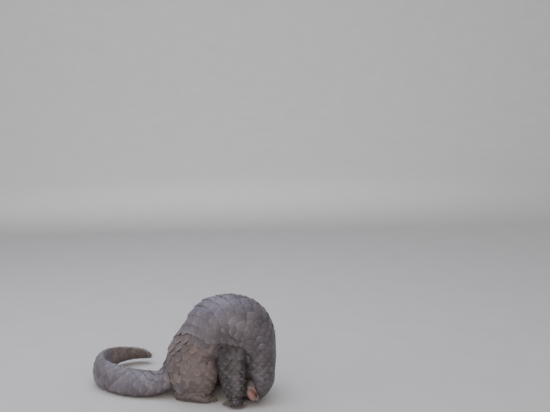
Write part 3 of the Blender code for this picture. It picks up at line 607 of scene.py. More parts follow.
LIPS_STATION, LIPS_DOWN, LIPS_SIZES = 1.0, 0.0040, (0.0100, 0.0030, 0.0060)
TAIL_PAD_AT, TAIL_PAD_SIZES = (0.0020, 0, 0), (0.0060, 0.0062, 0.0120)
print("right eye at", [round(c, 3) for c in side_frame(*EYE, False)[0]])

# %% Add the small forms
details = []
for root, radius, points in toes:
    centre = root - Vector((points * KNUCKLE_BACK, 0, KNUCKLE_DOWN))
    sizes = (KNUCKLE_LONG, radius * KNUCKLE_WIDE, radius * KNUCKLE_HIGH)
    details.append(ball(centre, sizes, WORLD_AXES, "toe", 20, 14))
for side, left in SIDES:
    point, axes = side_frame(*EYE, left)
    details.append(ring_form(shifted(point, axes, LID_AT), axes, LID_RADII, LID_THICK, "lid"))
    point, axes = side_frame(*EAR, left)
    for name, offsets, sizes in EAR_FORMS:
        details.append(ball(shifted(point, axes, offsets), sizes, axes, name))
    rim_at, bend = shifted(point, axes, EAR_RIM_AT), (EAR_RIM_START, EAR_RIM_SWEEP)
    details.append(ring_form(rim_at, axes, EAR_RIM_RADII, EAR_RIM_THICK, "ear_rim", *bend))
    point, axes = side_frame(*NECK_FOLD, left)
    details.append(ball(shifted(point, axes, NECK_FOLD_AT), NECK_FOLD_SIZES, axes, "neck_fold"))
snout = body.at(body.station(LIPS_STATION))
snout_axes = axes_at(snout)
details.append(ball(Vector(snout[PLACE]) - snout_axes[1] * LIPS_DOWN, LIPS_SIZES, snout_axes, "lips"))
end = body.at(body.length)
pad_at = shifted(Vector(end[PLACE]), axes_at(end), TAIL_PAD_AT)
details.append(ball(pad_at, TAIL_PAD_SIZES, axes_at(end), "tail_pad"))
print(len(details), "small forms")

# %% [markdown]
# ## One skin
# Skin has no seams, so the forms must become one surface. A Boolean would leave hard creases where
# a leg meets the belly. A voxel remesh fuses everything at once, and smoothing then rounds the
# joins as flesh does. The small forms go in after that, so that smoothing doesn't wipe them out.


# %% Helpers for a fused skin
def bake_modifiers(obj):
    """Keeps what the modifiers make as the object's own mesh."""
    graph = bpy.context.evaluated_depsgraph_get()
    mesh = bpy.data.meshes.new_from_object(obj.evaluated_get(graph))
    obj.modifiers.clear()
    old, obj.data = obj.data, mesh
    bpy.data.meshes.remove(old)
    mesh.name = obj.name


def fused(pieces, voxel, name):
    """One closed mesh from several that overlap."""
    mesh = bmesh.new()
    for piece in pieces:
        mesh.from_mesh(piece.data)
        bpy.data.objects.remove(piece, do_unlink=True)
    obj = keep(mesh, name)
    remesh = obj.modifiers.new("fuse", "REMESH")
    remesh.mode = "VOXEL"
    remesh.voxel_size = voxel
    remesh.adaptivity = 0.0
    bake_modifiers(obj)
    return obj


def smoothed(obj, times, only=None):
    """Rounds a whole mesh, or only some of its points."""
    mesh = bmesh.new()
    mesh.from_mesh(obj.data)
    mesh.verts.ensure_lookup_table()
    verts = mesh.verts[:] if only is None else [mesh.verts[k] for k in only]
    every_way = {"use_axis_x": True, "use_axis_y": True, "use_axis_z": True}
    for _ in range(times):
        bmesh.ops.smooth_vert(mesh, verts=verts, factor=0.5, **every_way)
    mesh.to_mesh(obj.data)
    mesh.free()


def points_of(data):
    """The points of a mesh as an array."""
    points = np.empty(len(data.vertices) * 3, np.float32)
    data.vertices.foreach_get("co", points)
    return points.reshape(-1, 3).astype(float)


print(len(details) + len(flesh), "forms to fuse")

# %% Fuse the forms
BODY_VOXEL, BODY_SMOOTHING = 0.0022, 8
SKIN_VOXEL, SKIN_SMOOTHING = 0.0013, 2
FAIRING_STEPS, FAIRING_REACH, FAIRING_ABOVE = 45, 0.013, 0.060


def joins_of(obj):
    """The points near both the trunk and a leg, where flesh fills the crease between them."""
    points = points_of(obj.data)
    near_body = body.depth(points) > -FAIRING_REACH
    near_leg = np.max([leg.depth(points) for leg in legs.values()], axis=0) > -FAIRING_REACH
    return np.nonzero(near_body & near_leg & (points[:, 2] > FAIRING_ABOVE))[0]


under = fused(flesh, BODY_VOXEL, "under_skin")
smoothed(under, BODY_SMOOTHING)
smoothed(under, FAIRING_STEPS, joins_of(under))
hull_points = [vert.co.copy() for vert in under.data.vertices]
surface = BVHTree.FromPolygons(hull_points, [tuple(face.vertices) for face in under.data.polygons])
skin = fused([under] + details, SKIN_VOXEL, "skin")
smoothed(skin, SKIN_SMOOTHING)
print("skin", len(skin.data.polygons), "faces")

# %% [markdown]
# ## Openings of the head
# The eye sockets, the hollow of each ear, the nostrils and the slit of the mouth are cut from the
# fused skin with stretched spheres. Cutting comes after the remesh, because a slit half a
# millimetre wide would be lost between its voxels.


# %% Cut the openings
SOCKET_SIZES = (0.0052, 0.0040, 0.0048)
EAR_HOLLOW_AT, EAR_HOLLOW_SIZES = (0.0048, 0.0, 0.0076), (0.0034, 0.0132, 0.0108)
MOUTH, MOUTH_SIZES = (1.25, 128), (0.0125, 0.0005, 0.0018)
NOSTRIL_AT, NOSTRIL_SIZES = (-0.0036, 0.0012, 0.0027), (0.0014, 0.0019, 0.0022)


def carve(obj, cutters):
    """Takes each cutter out of the object, and then out of the scene."""
    for cutter in cutters:
        cut = obj.modifiers.new("cut", "BOOLEAN")
        cut.operation = "DIFFERENCE"
        cut.solver = "MANIFOLD"
        cut.object = cutter
        bake_modifiers(obj)
        bpy.data.objects.remove(cutter, do_unlink=True)


cutters = []
snout_tip = body.at(0.0)
for side, left in SIDES:
    point, axes = side_frame(*EYE, left)
    cutters.append(ball(shifted(point, axes, (0, 0, -EYE_SUNK)), SOCKET_SIZES, axes, "socket"))
    point, axes = side_frame(*EAR, left)
    cutters.append(ball(shifted(point, axes, EAR_HOLLOW_AT), EAR_HOLLOW_SIZES, axes, "ear_hollow"))
    point, axes = side_frame(*MOUTH, left)
    cutters.append(ball(point, MOUTH_SIZES, axes, "mouth"))
    ahead, up, out = axes_at(snout_tip)
    axes = (ahead, up, out if left else -out)
    point = shifted(Vector(snout_tip[PLACE]), axes, NOSTRIL_AT)
    cutters.append(ball(point, NOSTRIL_SIZES, axes, "nostril", 16, 10))
carve(skin, cutters)
print("skin after cutting", len(skin.data.polygons), "faces")

# %% [markdown]
# ## The pattern of one scale
# A scale is a flat plate of horn like a thick fingernail: narrow at its root, broad in the
# middle and round at its worn tip, a little arched across. A grid extruded once gives a closed
# plate with few faces, which matters because it is repeated hundreds of times. Its hidden
# underside keeps only one long face to a column. The pattern lies in a square with a side of one.

# %% Make the pattern
COLUMN_EDGES = (-1.0, -0.80, -0.28, 0.28, 0.80, 1.0)
ROW_EDGES = (0.0, 0.34, 0.58, 0.76, 0.89, 0.97, 1.0)
HALF_WIDTHS = ((0.0, 0.34, 0.58, 0.76, 0.89, 1.0), (0.56, 0.90, 1.0, 0.97, 0.86, 0.66))
TIP_ROUND = 0.26

pattern = bmesh.new()
bmesh.ops.create_grid(pattern, x_segments=len(COLUMN_EDGES) - 1, y_segments=len(ROW_EDGES) - 1, size=0.5)
grown = bmesh.ops.extrude_face_region(pattern, geom=pattern.faces[:])["geom"]
top_verts = [item for item in grown if isinstance(item, bmesh.types.BMVert)]
bmesh.ops.translate(pattern, verts=top_verts, vec=(0, 0, 1))
under_edges = [edge for edge in pattern.edges if max(v.co.z for v in edge.verts) < 0.5]
level = [edge for edge in under_edges if abs(edge.verts[0].co.y - edge.verts[1].co.y) < 0.01]
inner = [edge for edge in level if abs(edge.verts[0].co.y) < 0.49]
bmesh.ops.dissolve_edges(pattern, edges=inner, use_verts=False)
bmesh.ops.recalc_face_normals(pattern, faces=pattern.faces)
pattern.verts.ensure_lookup_table()
flat = np.array([vert.co for vert in pattern.verts])
PATTERN_FACES = [[vert.index for vert in face.verts] for face in pattern.faces]
pattern.free()
column = np.interp(flat[:, 0], np.linspace(-0.5, 0.5, len(COLUMN_EDGES)), COLUMN_EDGES)
row = np.interp(flat[:, 1], np.linspace(-0.5, 0.5, len(ROW_EDGES)), ROW_EDGES)
PATTERN_X = column * np.interp(row, *HALF_WIDTHS) / 2
PATTERN_Y = row * (1 - TIP_ROUND * column**2 * row**2)
PATTERN_TOP = (flat[:, 2] > 0.5).astype(float)
PATTERN_COLUMN, PATTERN_ROW = column, row
print("a scale has", len(PATTERN_FACES), "faces")

# %% [markdown]
# ## Rows of scales
# Scales grow in rows like roof tiles. A fixed number of them goes round each length of the body,
# so that they run in unbroken columns, and each row is set half a scale round from the row
# before. Where the back bends, the scales on its inner side are squeezed and overlap more. One
# row after the other could be set by hand, but a rule keeps them even.

# %% Sizes of the rows
# A scale's width is its share of the way round. The step from row to row, and the width and
# length that are drawn, are counted in that width.
SCALE_PITCH, ROW_PITCH = 1.04, 0.56
SCALE_WIDE, SCALE_LONG = 1.12, 1.30
LEAST_SQUEEZE = 0.42
# From which station on how many scales go round.
BODY_COLUMNS = ((0, 13), (13.9, 11), (14.8, 8), (15.8, 6))
LIMB_COLUMNS = {"hind": ((0, 13),), "fore": ((0, 9),)}
FOOT_COLUMNS = ((0, 9),)
# Where the coat starts and ends, as stations.
COAT_FROM, COAT_PAST_END = 1.7, 0.002
LEG_FROM, FILL_FROM, FOOT_TO = {"hind": 0.7, "fore": 0.75}, 0.35, 3.6
NECK_STATION, TAIL_STATION = 6.15, 15.0
neck_at, tail_at = body.station(NECK_STATION), body.station(TAIL_STATION)
print("neck at", round(neck_at, 3), "m and tail at", round(tail_at, 3), "m from the snout")

# %% [markdown]
# ## Scales at the joins
# The line of the trunk knows nothing of the legs, so a scale set on it would sink into a haunch.
# Near a leg each scale is moved out to the fused skin instead, where a ray from outside meets
# it, and is tilted with the skin there and turned towards the leg. Random draws come from one
# seeded source, so the coat is the same in every run.

# %% Seat a scale
LOOK_ON, LOOK_ROUND = 0.002, 0.05
RAY_PAST = 0.030
LIFT_SHARE, LEAST_LIFT = 1.5, 0.008
LEG_STEPS = 40
TURN_OUT = -0.012
OPPOSED, OPPOSED_DEEP = -0.40, 0.003
JOIN_FAR, JOIN_NEAR = 0.034, 0.004
ALIKE_LOW, ALIKE_HIGH, TAIL_BLEND = -0.75, -0.35, 0.045
TILT_STEP, OWN_TILT = 0.35, 0.25
draw = np.random.default_rng(11)


def smooth_step(value, low, high):
    """Rises smoothly from 0 to 1 between two values, or falls if the first is the larger."""
    t = np.clip((value - low) / (high - low), 0, 1)
    return t * t * (3 - 2 * t)


def frame_at(line, s, angle):
    """The place on the line's own surface, with the ways across, down the lie and outwards."""
    seat, lower = line.skin(np.array([s, s + LOOK_ON]), np.array([angle, angle]))
    down = unit(lower - seat)
    side = line.skin(np.array(s), np.array(angle + LOOK_ROUND)) - seat
    side = unit(side - down * (side @ down))
    out = np.cross(side, down)
    return seat, side, down, out if out @ (seat - line.at(s)[PLACE]) > 0 else -out


def touch(point, out, lift):
    """Where the fused skin lies under a point, looked for from a little outside it."""
    hit = surface.ray_cast(Vector(point + out * lift), Vector(-out), lift + RAY_PAST)[0]
    return None if hit is None else np.array(hit)


def leg_share(s, seat, down, depths):
    """How much a scale of the trunk belongs to a leg, and how the leg's scales lie there. The
    share is None where they lie the other way, because the leg has its own scales there."""
    share, lie = 0.0, down
    for leg, deep in zip(legs.values(), depths):
        way = leg.at(np.linspace(0, leg.length, LEG_STEPS))
        away = np.linalg.norm(way[:, PLACE] - seat, axis=1)
        near = way[away.argmin()]
        alike = near[ALONG] @ down
        if deep > OPPOSED_DEEP and alike < OPPOSED:
            return None, lie
        here = smooth_step(away.min() - (near[HALF_WIDTH] + near[HIGH]) / 2, JOIN_FAR, JOIN_NEAR)
        here *= smooth_step(alike, ALIKE_LOW, ALIKE_HIGH) * smooth_step(tail_at - s, 0.0, TAIL_BLEND)
        if here > share:
            share, lie = here, near[ALONG]
    return share, lie


def tilted(seat, side, down, out, lift, step):
    """The way outwards, drawn towards that of the fused skin round a seat."""
    corners = [touch(seat + way * step, out, lift) for way in (side, -side, down, -down)]
    if any(corner is None for corner in corners):
        return out
    normal = unit(np.cross(corners[0] - corners[1], corners[2] - corners[3]))
    normal = normal if normal @ out > 0 else -normal
    return unit(normal + OWN_TILT * out)


def settled(line, s, angle, width, depths):
    """The frame of one scale, and how much it belongs to a leg, or None where it has no place."""
    seat, side, down, out = frame_at(line, s, angle)
    if line is body and not neck_at < s < tail_at:
        return seat, side, down, out, 0.0
    share = 0.0
    if line is body:
        share, lie = leg_share(s, seat, down, depths)
        if share is None:
            return None
        if share > 0:
            down = unit(down * (1 - share) + lie * share)
            down = unit(down - out * (down @ out))
            side = np.cross(out, down) * np.sign(np.cross(out, down) @ side)
    if max(depths) < TURN_OUT and share == 0.0:
        return seat, side, down, out, share
    lift = max(max(depths), 0) * LIFT_SHARE + LEAST_LIFT
    moved = touch(seat, out, lift)
    if moved is None:
        return seat, side, down, out, share
    out = tilted(seat, side, down, out, lift, TILT_STEP * width)
    down = unit(down - out * (down @ out))
    side_now = np.cross(out, down)
    return moved, side_now if side_now @ side > 0 else -side_now, down, out, share


print("leg scales may reach", JOIN_FAR, "m up the trunk")

# %% Find the place of every scale
CROWDING, FILLING = 0.55, 0.62
WHOLE_TURN, MOST_TURN = 175, 1.2 * math.pi
# How deep inside its neighbours a scale may start, in metres.
JOIN_DEEP, TAIL_DEEP, LEG_DEEP, LEG_FILL_DEEP, FOOT_DEEP = 0.026, 0.007, 0.004, 0.014, 0.003
FINE_STEPS = 3
seats_taken = []


def clear_of_others(seat, least):
    """Whether every scale so far sits at least this far away."""
    return not seats_taken or np.linalg.norm(np.array(seats_taken) - seat, axis=1).min() >= least


def scale_places(line, start, end, others, most_inside, columns, fine=1):
    """For each scale: distance along, angle round, width, squeeze and the frame it is set in.
    With fine steps it looks closer, and takes only places that no other scale is near."""
    found = []
    s, row_number = start, 0
    while s < end:
        reach = line.at(s)[REACH]
        angles, runs = line.round_table(s)
        full = 2 * np.interp(math.pi, angles, runs)
        count = [number for station, number in columns if line.station(station) <= s][-1]
        pitch = full / (count * fine)
        width = full / count / SCALE_PITCH
        steps = np.arange(count * fine) - count * fine // 2
        distances = (steps + row_number % 2 / 2) * pitch
        turned = np.interp(distances, runs, angles)
        turned = turned[(np.abs(turned) <= math.radians(reach)) | (reach > WHOLE_TURN)]
        turned = turned[np.abs(turned) < MOST_TURN]
        points = line.skin(np.full_like(turned, s), turned)
        run = line.run(np.full_like(turned, s), turned)
        squeezes = np.maximum(run / run.max(), LEAST_SQUEEZE)
        depths = np.array([other.depth(points) for other in others])
        deepest = TAIL_DEEP if line is body and s >= tail_at else most_inside
        for k in np.nonzero(depths.max(axis=0) <= deepest)[0]:
            placed = settled(line, s, turned[k], width, depths[:, k])
            if placed is None:
                continue
            next_row = math.hypot(SCALE_PITCH / 2, ROW_PITCH * squeezes[k])
            least = CROWDING * next_row if fine == 1 else FILLING
            if not clear_of_others(placed[0], least * width):
                continue
            seats_taken.append(placed[0])
            found.append((s, turned[k], width, squeezes[k], placed))
        s += ROW_PITCH * width / run.max() / fine
        row_number += 1
    return found


limbs = list(legs.values()) + list(feet.values())
coat_from, body_end = body.station(COAT_FROM), body.length + COAT_PAST_END
body_places = scale_places(body, coat_from, body_end, limbs, JOIN_DEEP, BODY_COLUMNS)
limb_places = {}
for (kind, side), line in legs.items():
    foot, top, around = feet[kind, side], line.station(LEG_FROM[kind]), LIMB_COLUMNS[kind]
    foot_end = foot.station(FOOT_TO)
    limb_places[kind, "leg", side] = scale_places(line, top, line.length, [body, foot], LEG_DEEP, around)
    limb_places[kind, "foot", side] = scale_places(foot, 0.0, foot_end, [line], FOOT_DEEP, FOOT_COLUMNS)
before = len(seats_taken)
body_places += scale_places(body, coat_from, body_end, limbs, JOIN_DEEP, BODY_COLUMNS, FINE_STEPS)
for (kind, side), line in legs.items():
    foot, top, around = feet[kind, side], line.station(FILL_FROM), LIMB_COLUMNS[kind]
    more = scale_places(line, top, line.length, [body, foot], LEG_FILL_DEEP, around, FINE_STEPS)
    limb_places[kind, "leg", side] += more
print(before, "scales in rows and", len(seats_taken) - before, "in the gaps between")

# %% [markdown]
# ## Laying the scales
# Each scale is bent over the skin from its own place, but horn is stiff, so it is drawn part of
# the way back to a flat plate. It rises from its sunk root just steeply enough to clear the
# scale behind it. A modifier could bend a grid of them at once, but then none could be turned on
# its own. All scales of a length of the body become one mesh, filled from arrays. The arrays also
# carry how worn, how pale and how brown each scale is (less brown keeps more of the slate that
# paints skylight), and how much painted shade darkens it, for the finish to read.

# %% Shape of a laid scale
# Counted in the width of a scale: its thickness, how high it arches, and how its root is sunk.
THICKNESS, ARCH, ARCH_POWER = 0.042, 0.030, 1.6
RISE = 1.15 * THICKNESS / ROW_PITCH
EDGE_SHARE = 0.45
LEAST_LENGTH, LEAST_SLOPE_SQUEEZE = 0.85, 0.60
# Which share of its length lies behind the place where it is seated.
SEAT = 0.35
SIZE_SPREAD, YAW_SPREAD, HEIGHT_SPREAD = 0.05, 0.06, 0.006
TIP_CHIP, TIP_ROW = 0.030, 0.98
KEEP_INSIDE = 0.0003
BOX_LOW, BOX_HIGH = np.array(CAD_BOX[0]) + KEEP_INSIDE, np.array(CAD_BOX[1]) - KEEP_INSIDE


def laid_scale(line, place, stiffness, sunk):
    """The points of one scale, and its pattern's points in metres."""
    s, angle, width, squeeze, (seat, side, down, out, _) = place
    size = width * (1 + SIZE_SPREAD * draw.uniform(-1, 1))
    wide, long = SCALE_WIDE * size, SCALE_LONG * size * max(squeeze, LEAST_LENGTH)
    chip = 1 - TIP_CHIP * draw.random(len(PATTERN_ROW)) * (PATTERN_ROW > TIP_ROW)
    x, y = PATTERN_X * wide, (PATTERN_Y * chip - SEAT) * long
    yaw = YAW_SPREAD * draw.normal()
    across, onward = x * math.cos(yaw) - y * math.sin(yaw), x * math.sin(yaw) + y * math.cos(yaw)
    slope = RISE / max(squeeze, LEAST_SLOPE_SQUEEZE)
    height = slope * long * PATTERN_Y + size * (HEIGHT_SPREAD * draw.normal() - sunk)
    edge = EDGE_SHARE + (1 - EDGE_SHARE) * (1 - PATTERN_COLUMN**4)
    arch = 1 - np.abs(PATTERN_COLUMN) ** ARCH_POWER
    height = height + PATTERN_TOP * size * THICKNESS * edge + size * ARCH * arch
    angles, runs = line.round_table(s)
    turned = np.interp(np.interp(angle, angles, runs) + across, runs, angles)
    bent = line.skin(s + onward / line.run(s, angle), turned, height)
    own_seat, own_side, own_down, own_out = frame_at(line, s, angle)
    turn = np.outer(own_side, side) + np.outer(own_down, down) + np.outer(own_out, out)
    bent = seat + (bent - own_seat) @ turn
    rigid = seat + side * across[:, None] + down * onward[:, None] + out * height[:, None]
    laid = bent * (1 - stiffness) + rigid * stiffness
    laid += np.maximum(BOX_LOW - laid.min(axis=0), 0) * (1, 1, 0)
    laid -= np.maximum(laid.max(axis=0) - BOX_HIGH, 0)
    laid[:, 2] = np.maximum(laid[:, 2], FLOOR + KEEP_INSIDE)
    return laid, np.column_stack([x, y])


print("a scale rises", round(RISE, 3), "of its width in its length")

# %% Lay the scales
BAKE_CORNER, BAKE_ROOM, BAKE_PATCH = 0.01, 0.97, 0.003
STRIAE_ROOM = 60
# Hind leg and fore leg: how brown the scales of the trunk turn beside them, against the slate
# that paints skylight, and how much painted shade darkens them there.
LIMB_SPLIT = 0.136
LIMB_TAN, LIMB_PAINTED_SHADE = (0.72, 0.35), (0.18, 0.55)
# Random spread from scale to scale of the brown share and of the painted shade.
TAN_SPREAD, PAINTED_SHADE_SPREAD = 0.10, 0.08
# Scales near the floor get more painted shade.
LOW_PAINTED_SHADE, LOW_FROM, LOW_TO = 0.22, 0.008, 0.045
LEAST_WEAR, WEAR_FROM, WEAR_CORNER = 0.35, 0.70, 0.10
SHARP_ANGLE = math.radians(48)


def filled_mesh(name, coords, faces, maps, marks):
    """A mesh object filled from arrays, with its maps and the values of its points."""
    data = bpy.data.meshes.new(name)
    data.from_pydata(coords.tolist(), [], faces)
    owner = np.empty(len(data.loops), np.int32)
    data.loops.foreach_get("vertex_index", owner)
    for map_name, spots in maps.items():
        layer = data.uv_layers.new(name=map_name)
        layer.data.foreach_set("uv", spots[owner].ravel().astype(np.float32))
    for mark, values in marks.items():
        layer = data.attributes.new(mark, "FLOAT", "POINT")
        layer.data.foreach_set("value", values.astype(np.float32))
    data.shade_smooth()
    obj = bpy.data.objects.new(name, data)
    bpy.context.scene.collection.objects.link(obj)
    return obj


def repeated(faces, points, count):
    """The faces of a pattern with so many points, repeated."""
    return [[v + k * points for v in face] for k in range(count) for face in faces]


def lay(line, places, stiffness, sunk, brown_and_sky, painted_shade, name):
    """One mesh of scales. stiffness draws them flat, and sunk is how deep their roots lie."""
    coords, striae, patches = [], [], []
    # Per scale: a random tone, a brown share against the slate that paints skylight, painted shade, and wear.
    marks = {"tone": [], "brown_and_sky": [], "painted_shade": [], "worn": []}
    for place in places:
        s, angle, _, _, (seat, *_, share) = place
        laid, flat_points = laid_scale(line, place, stiffness, sunk)
        coords.append(laid)
        striae.append(flat_points * 1000 + draw.uniform(0, STRIAE_ROOM, 2))
        round_share = (angle / (2 * math.pi) + 0.5) % 1
        corner = BAKE_CORNER + BAKE_ROOM * np.array([s / line.length, round_share])
        patches.append(corner + np.column_stack([PATTERN_X, PATTERN_Y]) * BAKE_PATCH)
        marks["tone"].append(np.full(len(laid), draw.normal()))
        fore = int(seat[0] > LIMB_SPLIT)
        # How brown a scale is; the less brown ones keep the slate that paints skylight.
        brown = brown_and_sky(s, angle) * (1 - share) + LIMB_TAN[fore] * share + TAN_SPREAD * draw.normal()
        # Painted shade: darker on the head, neck, shoulders and forelegs, with a random spread.
        dim = painted_shade(s, angle) * (1 - share) + LIMB_PAINTED_SHADE[fore] * share + PAINTED_SHADE_SPREAD * draw.normal()
        # More painted shade close to the floor.
        dim += LOW_PAINTED_SHADE * (1 - smooth_step(seat[2], LOW_FROM, LOW_TO))
        marks["brown_and_sky"].append(np.full(len(laid), brown))
        marks["painted_shade"].append(np.full(len(laid), dim))
        wear = LEAST_WEAR + (1 - LEAST_WEAR) * draw.random()
        tip = smooth_step(PATTERN_Y + WEAR_CORNER * np.abs(PATTERN_COLUMN), WEAR_FROM, 1.0)
        marks["worn"].append(wear * tip)
    maps = {"OFBake": np.concatenate(patches), "Striae": np.concatenate(striae)}
    marks = {mark: np.concatenate(values) for mark, values in marks.items()}
    faces = repeated(PATTERN_FACES, len(PATTERN_X), len(places))
    obj = filled_mesh(name, np.concatenate(coords), faces, maps, marks)
    obj.data.set_sharp_from_angle(angle=SHARP_ANGLE)
    return obj


print("a scale's patch is", BAKE_PATCH, "of its map")

# %% [markdown]
# ## Tints and painted light along the body
# The animal isn't one grey: the haunches and the inner face of the tail are browner, and the back
# and the bend of the tail are painted slate for the skylight on them. The head, the neck, the
# shoulders and the forelegs are darkened with painted shade. Each tint and each shade is a curve
# from station to station.

# %% Tint and lay each length
# Stations, how brown the scales are there against the slate that paints skylight, and how much
# painted shade darkens them.
BROWN_AND_SKY_CURVE = ((2, 8, 12, 14, 15, 18, 21, 22.5, 26), (0.30, 0.12, 0.12, 0.30, 0.25, 0.12, 0.12, 0.95, 1.0))
PAINTED_SHADE_CURVE = ((3, 7, 9, 11, 12.5, 20, 23, 26), (0.45, 0.50, 0.22, 0.12, 0.0, 0.0, 0.0, 0.0))
# The lower flank is browner, with less of the slate that paints skylight.
FLANK_TAN, FLANK_ROUND, FLANK_STATIONS = 0.25, (1.0, 1.7), (12, 15.5)


def station_at(s):
    """The number of the station at a distance along the body."""
    return np.interp(s, body.knots, range(len(body.knots)))


def body_brown_and_sky(s, angle):
    """How brown a scale is, from station to station, and more on the lower flank.
    Less brown leaves more of the slate that paints skylight.
    """
    number = station_at(s)
    on_flank = FLANK_STATIONS[0] < number < FLANK_STATIONS[1]
    lower = smooth_step(abs(angle), *FLANK_ROUND)
    return float(np.interp(number, *BROWN_AND_SKY_CURVE) + FLANK_TAN * lower * on_flank)


def body_painted_shade(s, angle):
    """How much painted shade darkens a scale: most on the neck and shoulders."""
    return float(np.interp(station_at(s), *PAINTED_SHADE_CURVE))


at = np.array([place[0] for place in body_places])
# Which scales of the body, how stiff they are, and how deep their roots are sunk.
LENGTHS = {
    "scales_head": (at < neck_at, 0.15, 0.06),
    "scales_trunk": ((at >= neck_at) & (at < tail_at), 0.30, 0.06),
    "scales_tail": (at >= tail_at, 0.06, 0.10),
}
LIMB_STIFF, LIMB_SUNK = 0.20, 0.06
# How brown each leg's scales are, and how much painted shade darkens them; most on the forelegs.
LEG_BROWN_AND_SHADE = {"hind": (0.85, 0.28), "fore": (0.25, 0.95)}
coats = {}
for name, (chosen, stiff, sunk) in LENGTHS.items():
    picked = [body_places[k] for k in np.nonzero(chosen)[0]]
    coats[name] = lay(body, picked, stiff, sunk, body_brown_and_sky, body_painted_shade, name)
for (kind, part, side), found in limb_places.items():
    line = (legs if part == "leg" else feet)[kind, side]
    name = f"scales_{kind}_{part}_{side}"
    # Each leg gives all its scales one brown share and one amount of painted shade.
    brown, leg_shade = (lambda s, angle, tint=tint: tint for tint in LEG_BROWN_AND_SHADE[kind])
    coats[name] = lay(line, found, LIMB_STIFF, LIMB_SUNK, brown, leg_shade, name)
print({name: len(obj.data.polygons) for name, obj in coats.items()})

# %% [markdown]
# ## Skin under and between the scales
# The skin is bare on the face, the ears, the belly, the inner sides of the legs and the feet.
# Where scales cover it, it is painted a deep brown: partly the skin's own darker colour there and
# partly painted shade in the gaps between the scales. Each of its points takes a value for how
# covered it is, from the distance to the nearest scale, and one for how flushed, from the
# distance to ears and feet.
# Covered skin is thinned out, because nothing of it is seen.

# %% Mark the skin
# Ears and eyes: where, and how far round them the skin is flushed.
BLUSHES = ((EAR, 0.021), (EYE, 0.009))
NOSE_BLUSH, NOSE_REACH = 0.55, 0.030
# Skin of the neck's fold counts as covered, so it gets the painted shade, and the pad under the
# tail's tip counts as bare.
FOLD_NEAR, FOLD_FAR = 0.020, 0.045
PAD_NEAR, PAD_FAR = 0.006, 0.012
# Distances to the nearest scale, in widths of it, where skin is covered and where it is bare.
COVERED_AT, BARE_AT = 0.50, 0.95


def near_finder(points):
    """Finds the nearest of these points quickly."""
    tree = KDTree(len(points))
    for k, point in enumerate(points):
        tree.insert(point, k)
    tree.balance()
    return tree


def skin_marks(points):
    """How covered and how flushed each point of the skin is."""
    every = body_places + [place for found in limb_places.values() for place in found]
    widths = np.array([place[2] for place in every])
    tree = near_finder([place[4][0] for place in every])
    nearest = [tree.find(point)[1:] for point in points]
    away = np.array([distance / widths[index] for index, distance in nearest])
    flushed = np.zeros(len(points))
    for _, left in SIDES:
        for spot, radius in BLUSHES:
            centre = np.array(side_frame(*spot, left)[0])
            flushed = np.maximum(flushed, 1 - np.linalg.norm(points - centre, axis=1) / radius)
        fold = np.array(side_frame(*NECK_FOLD, left)[0])
        away *= smooth_step(np.linalg.norm(points - fold, axis=1), FOLD_NEAR, FOLD_FAR)
    nose, pad = body.at(0.0)[PLACE], body.at(body.s[-1])[PLACE]
    to_nose = np.linalg.norm(points - nose, axis=1)
    flushed = np.maximum(flushed, NOSE_BLUSH - to_nose / NOSE_REACH)
    away += 1 - smooth_step(np.linalg.norm(points - pad, axis=1), PAD_NEAR, PAD_FAR)
    return 1 - smooth_step(away, COVERED_AT, BARE_AT), np.clip(flushed, 0, 1)


points = points_of(skin.data)
covered, _ = skin_marks(points)
print(round(float(covered.mean()), 2), "of the skin's points are covered")

# %% Thin the skin
MOST_SKIN_TRIANGLES = 186000
HIDDEN_LEVELS = 4
points = np.clip(points, BOX_LOW, BOX_HIGH)
skin.data.vertices.foreach_set("co", points.ravel().astype(np.float32))
group = skin.vertex_groups.new(name="hidden")
for level in range(1, HIDDEN_LEVELS + 1):
    chosen = np.nonzero(np.rint(covered * HIDDEN_LEVELS).astype(int) == level)[0]
    group.add(chosen.tolist(), level / HIDDEN_LEVELS, "REPLACE")
skin.data.calc_loop_triangles()
thin = skin.modifiers.new("thin", "DECIMATE")
thin.ratio = MOST_SKIN_TRIANGLES / len(skin.data.loop_triangles)
thin.vertex_group = "hidden"
thin.vertex_group_factor = 1.0
bake_modifiers(skin)
skin.vertex_groups.clear()
covered, flushed = skin_marks(points_of(skin.data))
for name, values in (("covered", covered), ("flushed", flushed)):
    layer = skin.data.attributes.new(name, "FLOAT", "POINT")
    layer.data.foreach_set("value", values.astype(np.float32))
skin.data.shade_smooth()
skin.data.calc_loop_triangles()
skin.data.materials.clear()
print("skin", len(skin.data.loop_triangles), "triangles")

# %% [markdown]
# ## Bristles
# A pangolin isn't quite bare where it has no scales: thin pale hairs stand on its cheeks, its
# belly and the inner sides of its legs, and stiffer ones between the scales. Each is a cone of
# three sides, bent once, that leans along the body. All of them are one mesh, filled from arrays.

# %% Find the roots of the bristles
BRISTLES = 4200
# How much hair grows on covered skin, from which flush on none does, and above which height.
COVERED_HAIR, MOST_FLUSH, HAIR_ABOVE = 1.05, 0.15, 0.004
LIE_SPREAD = 0.25


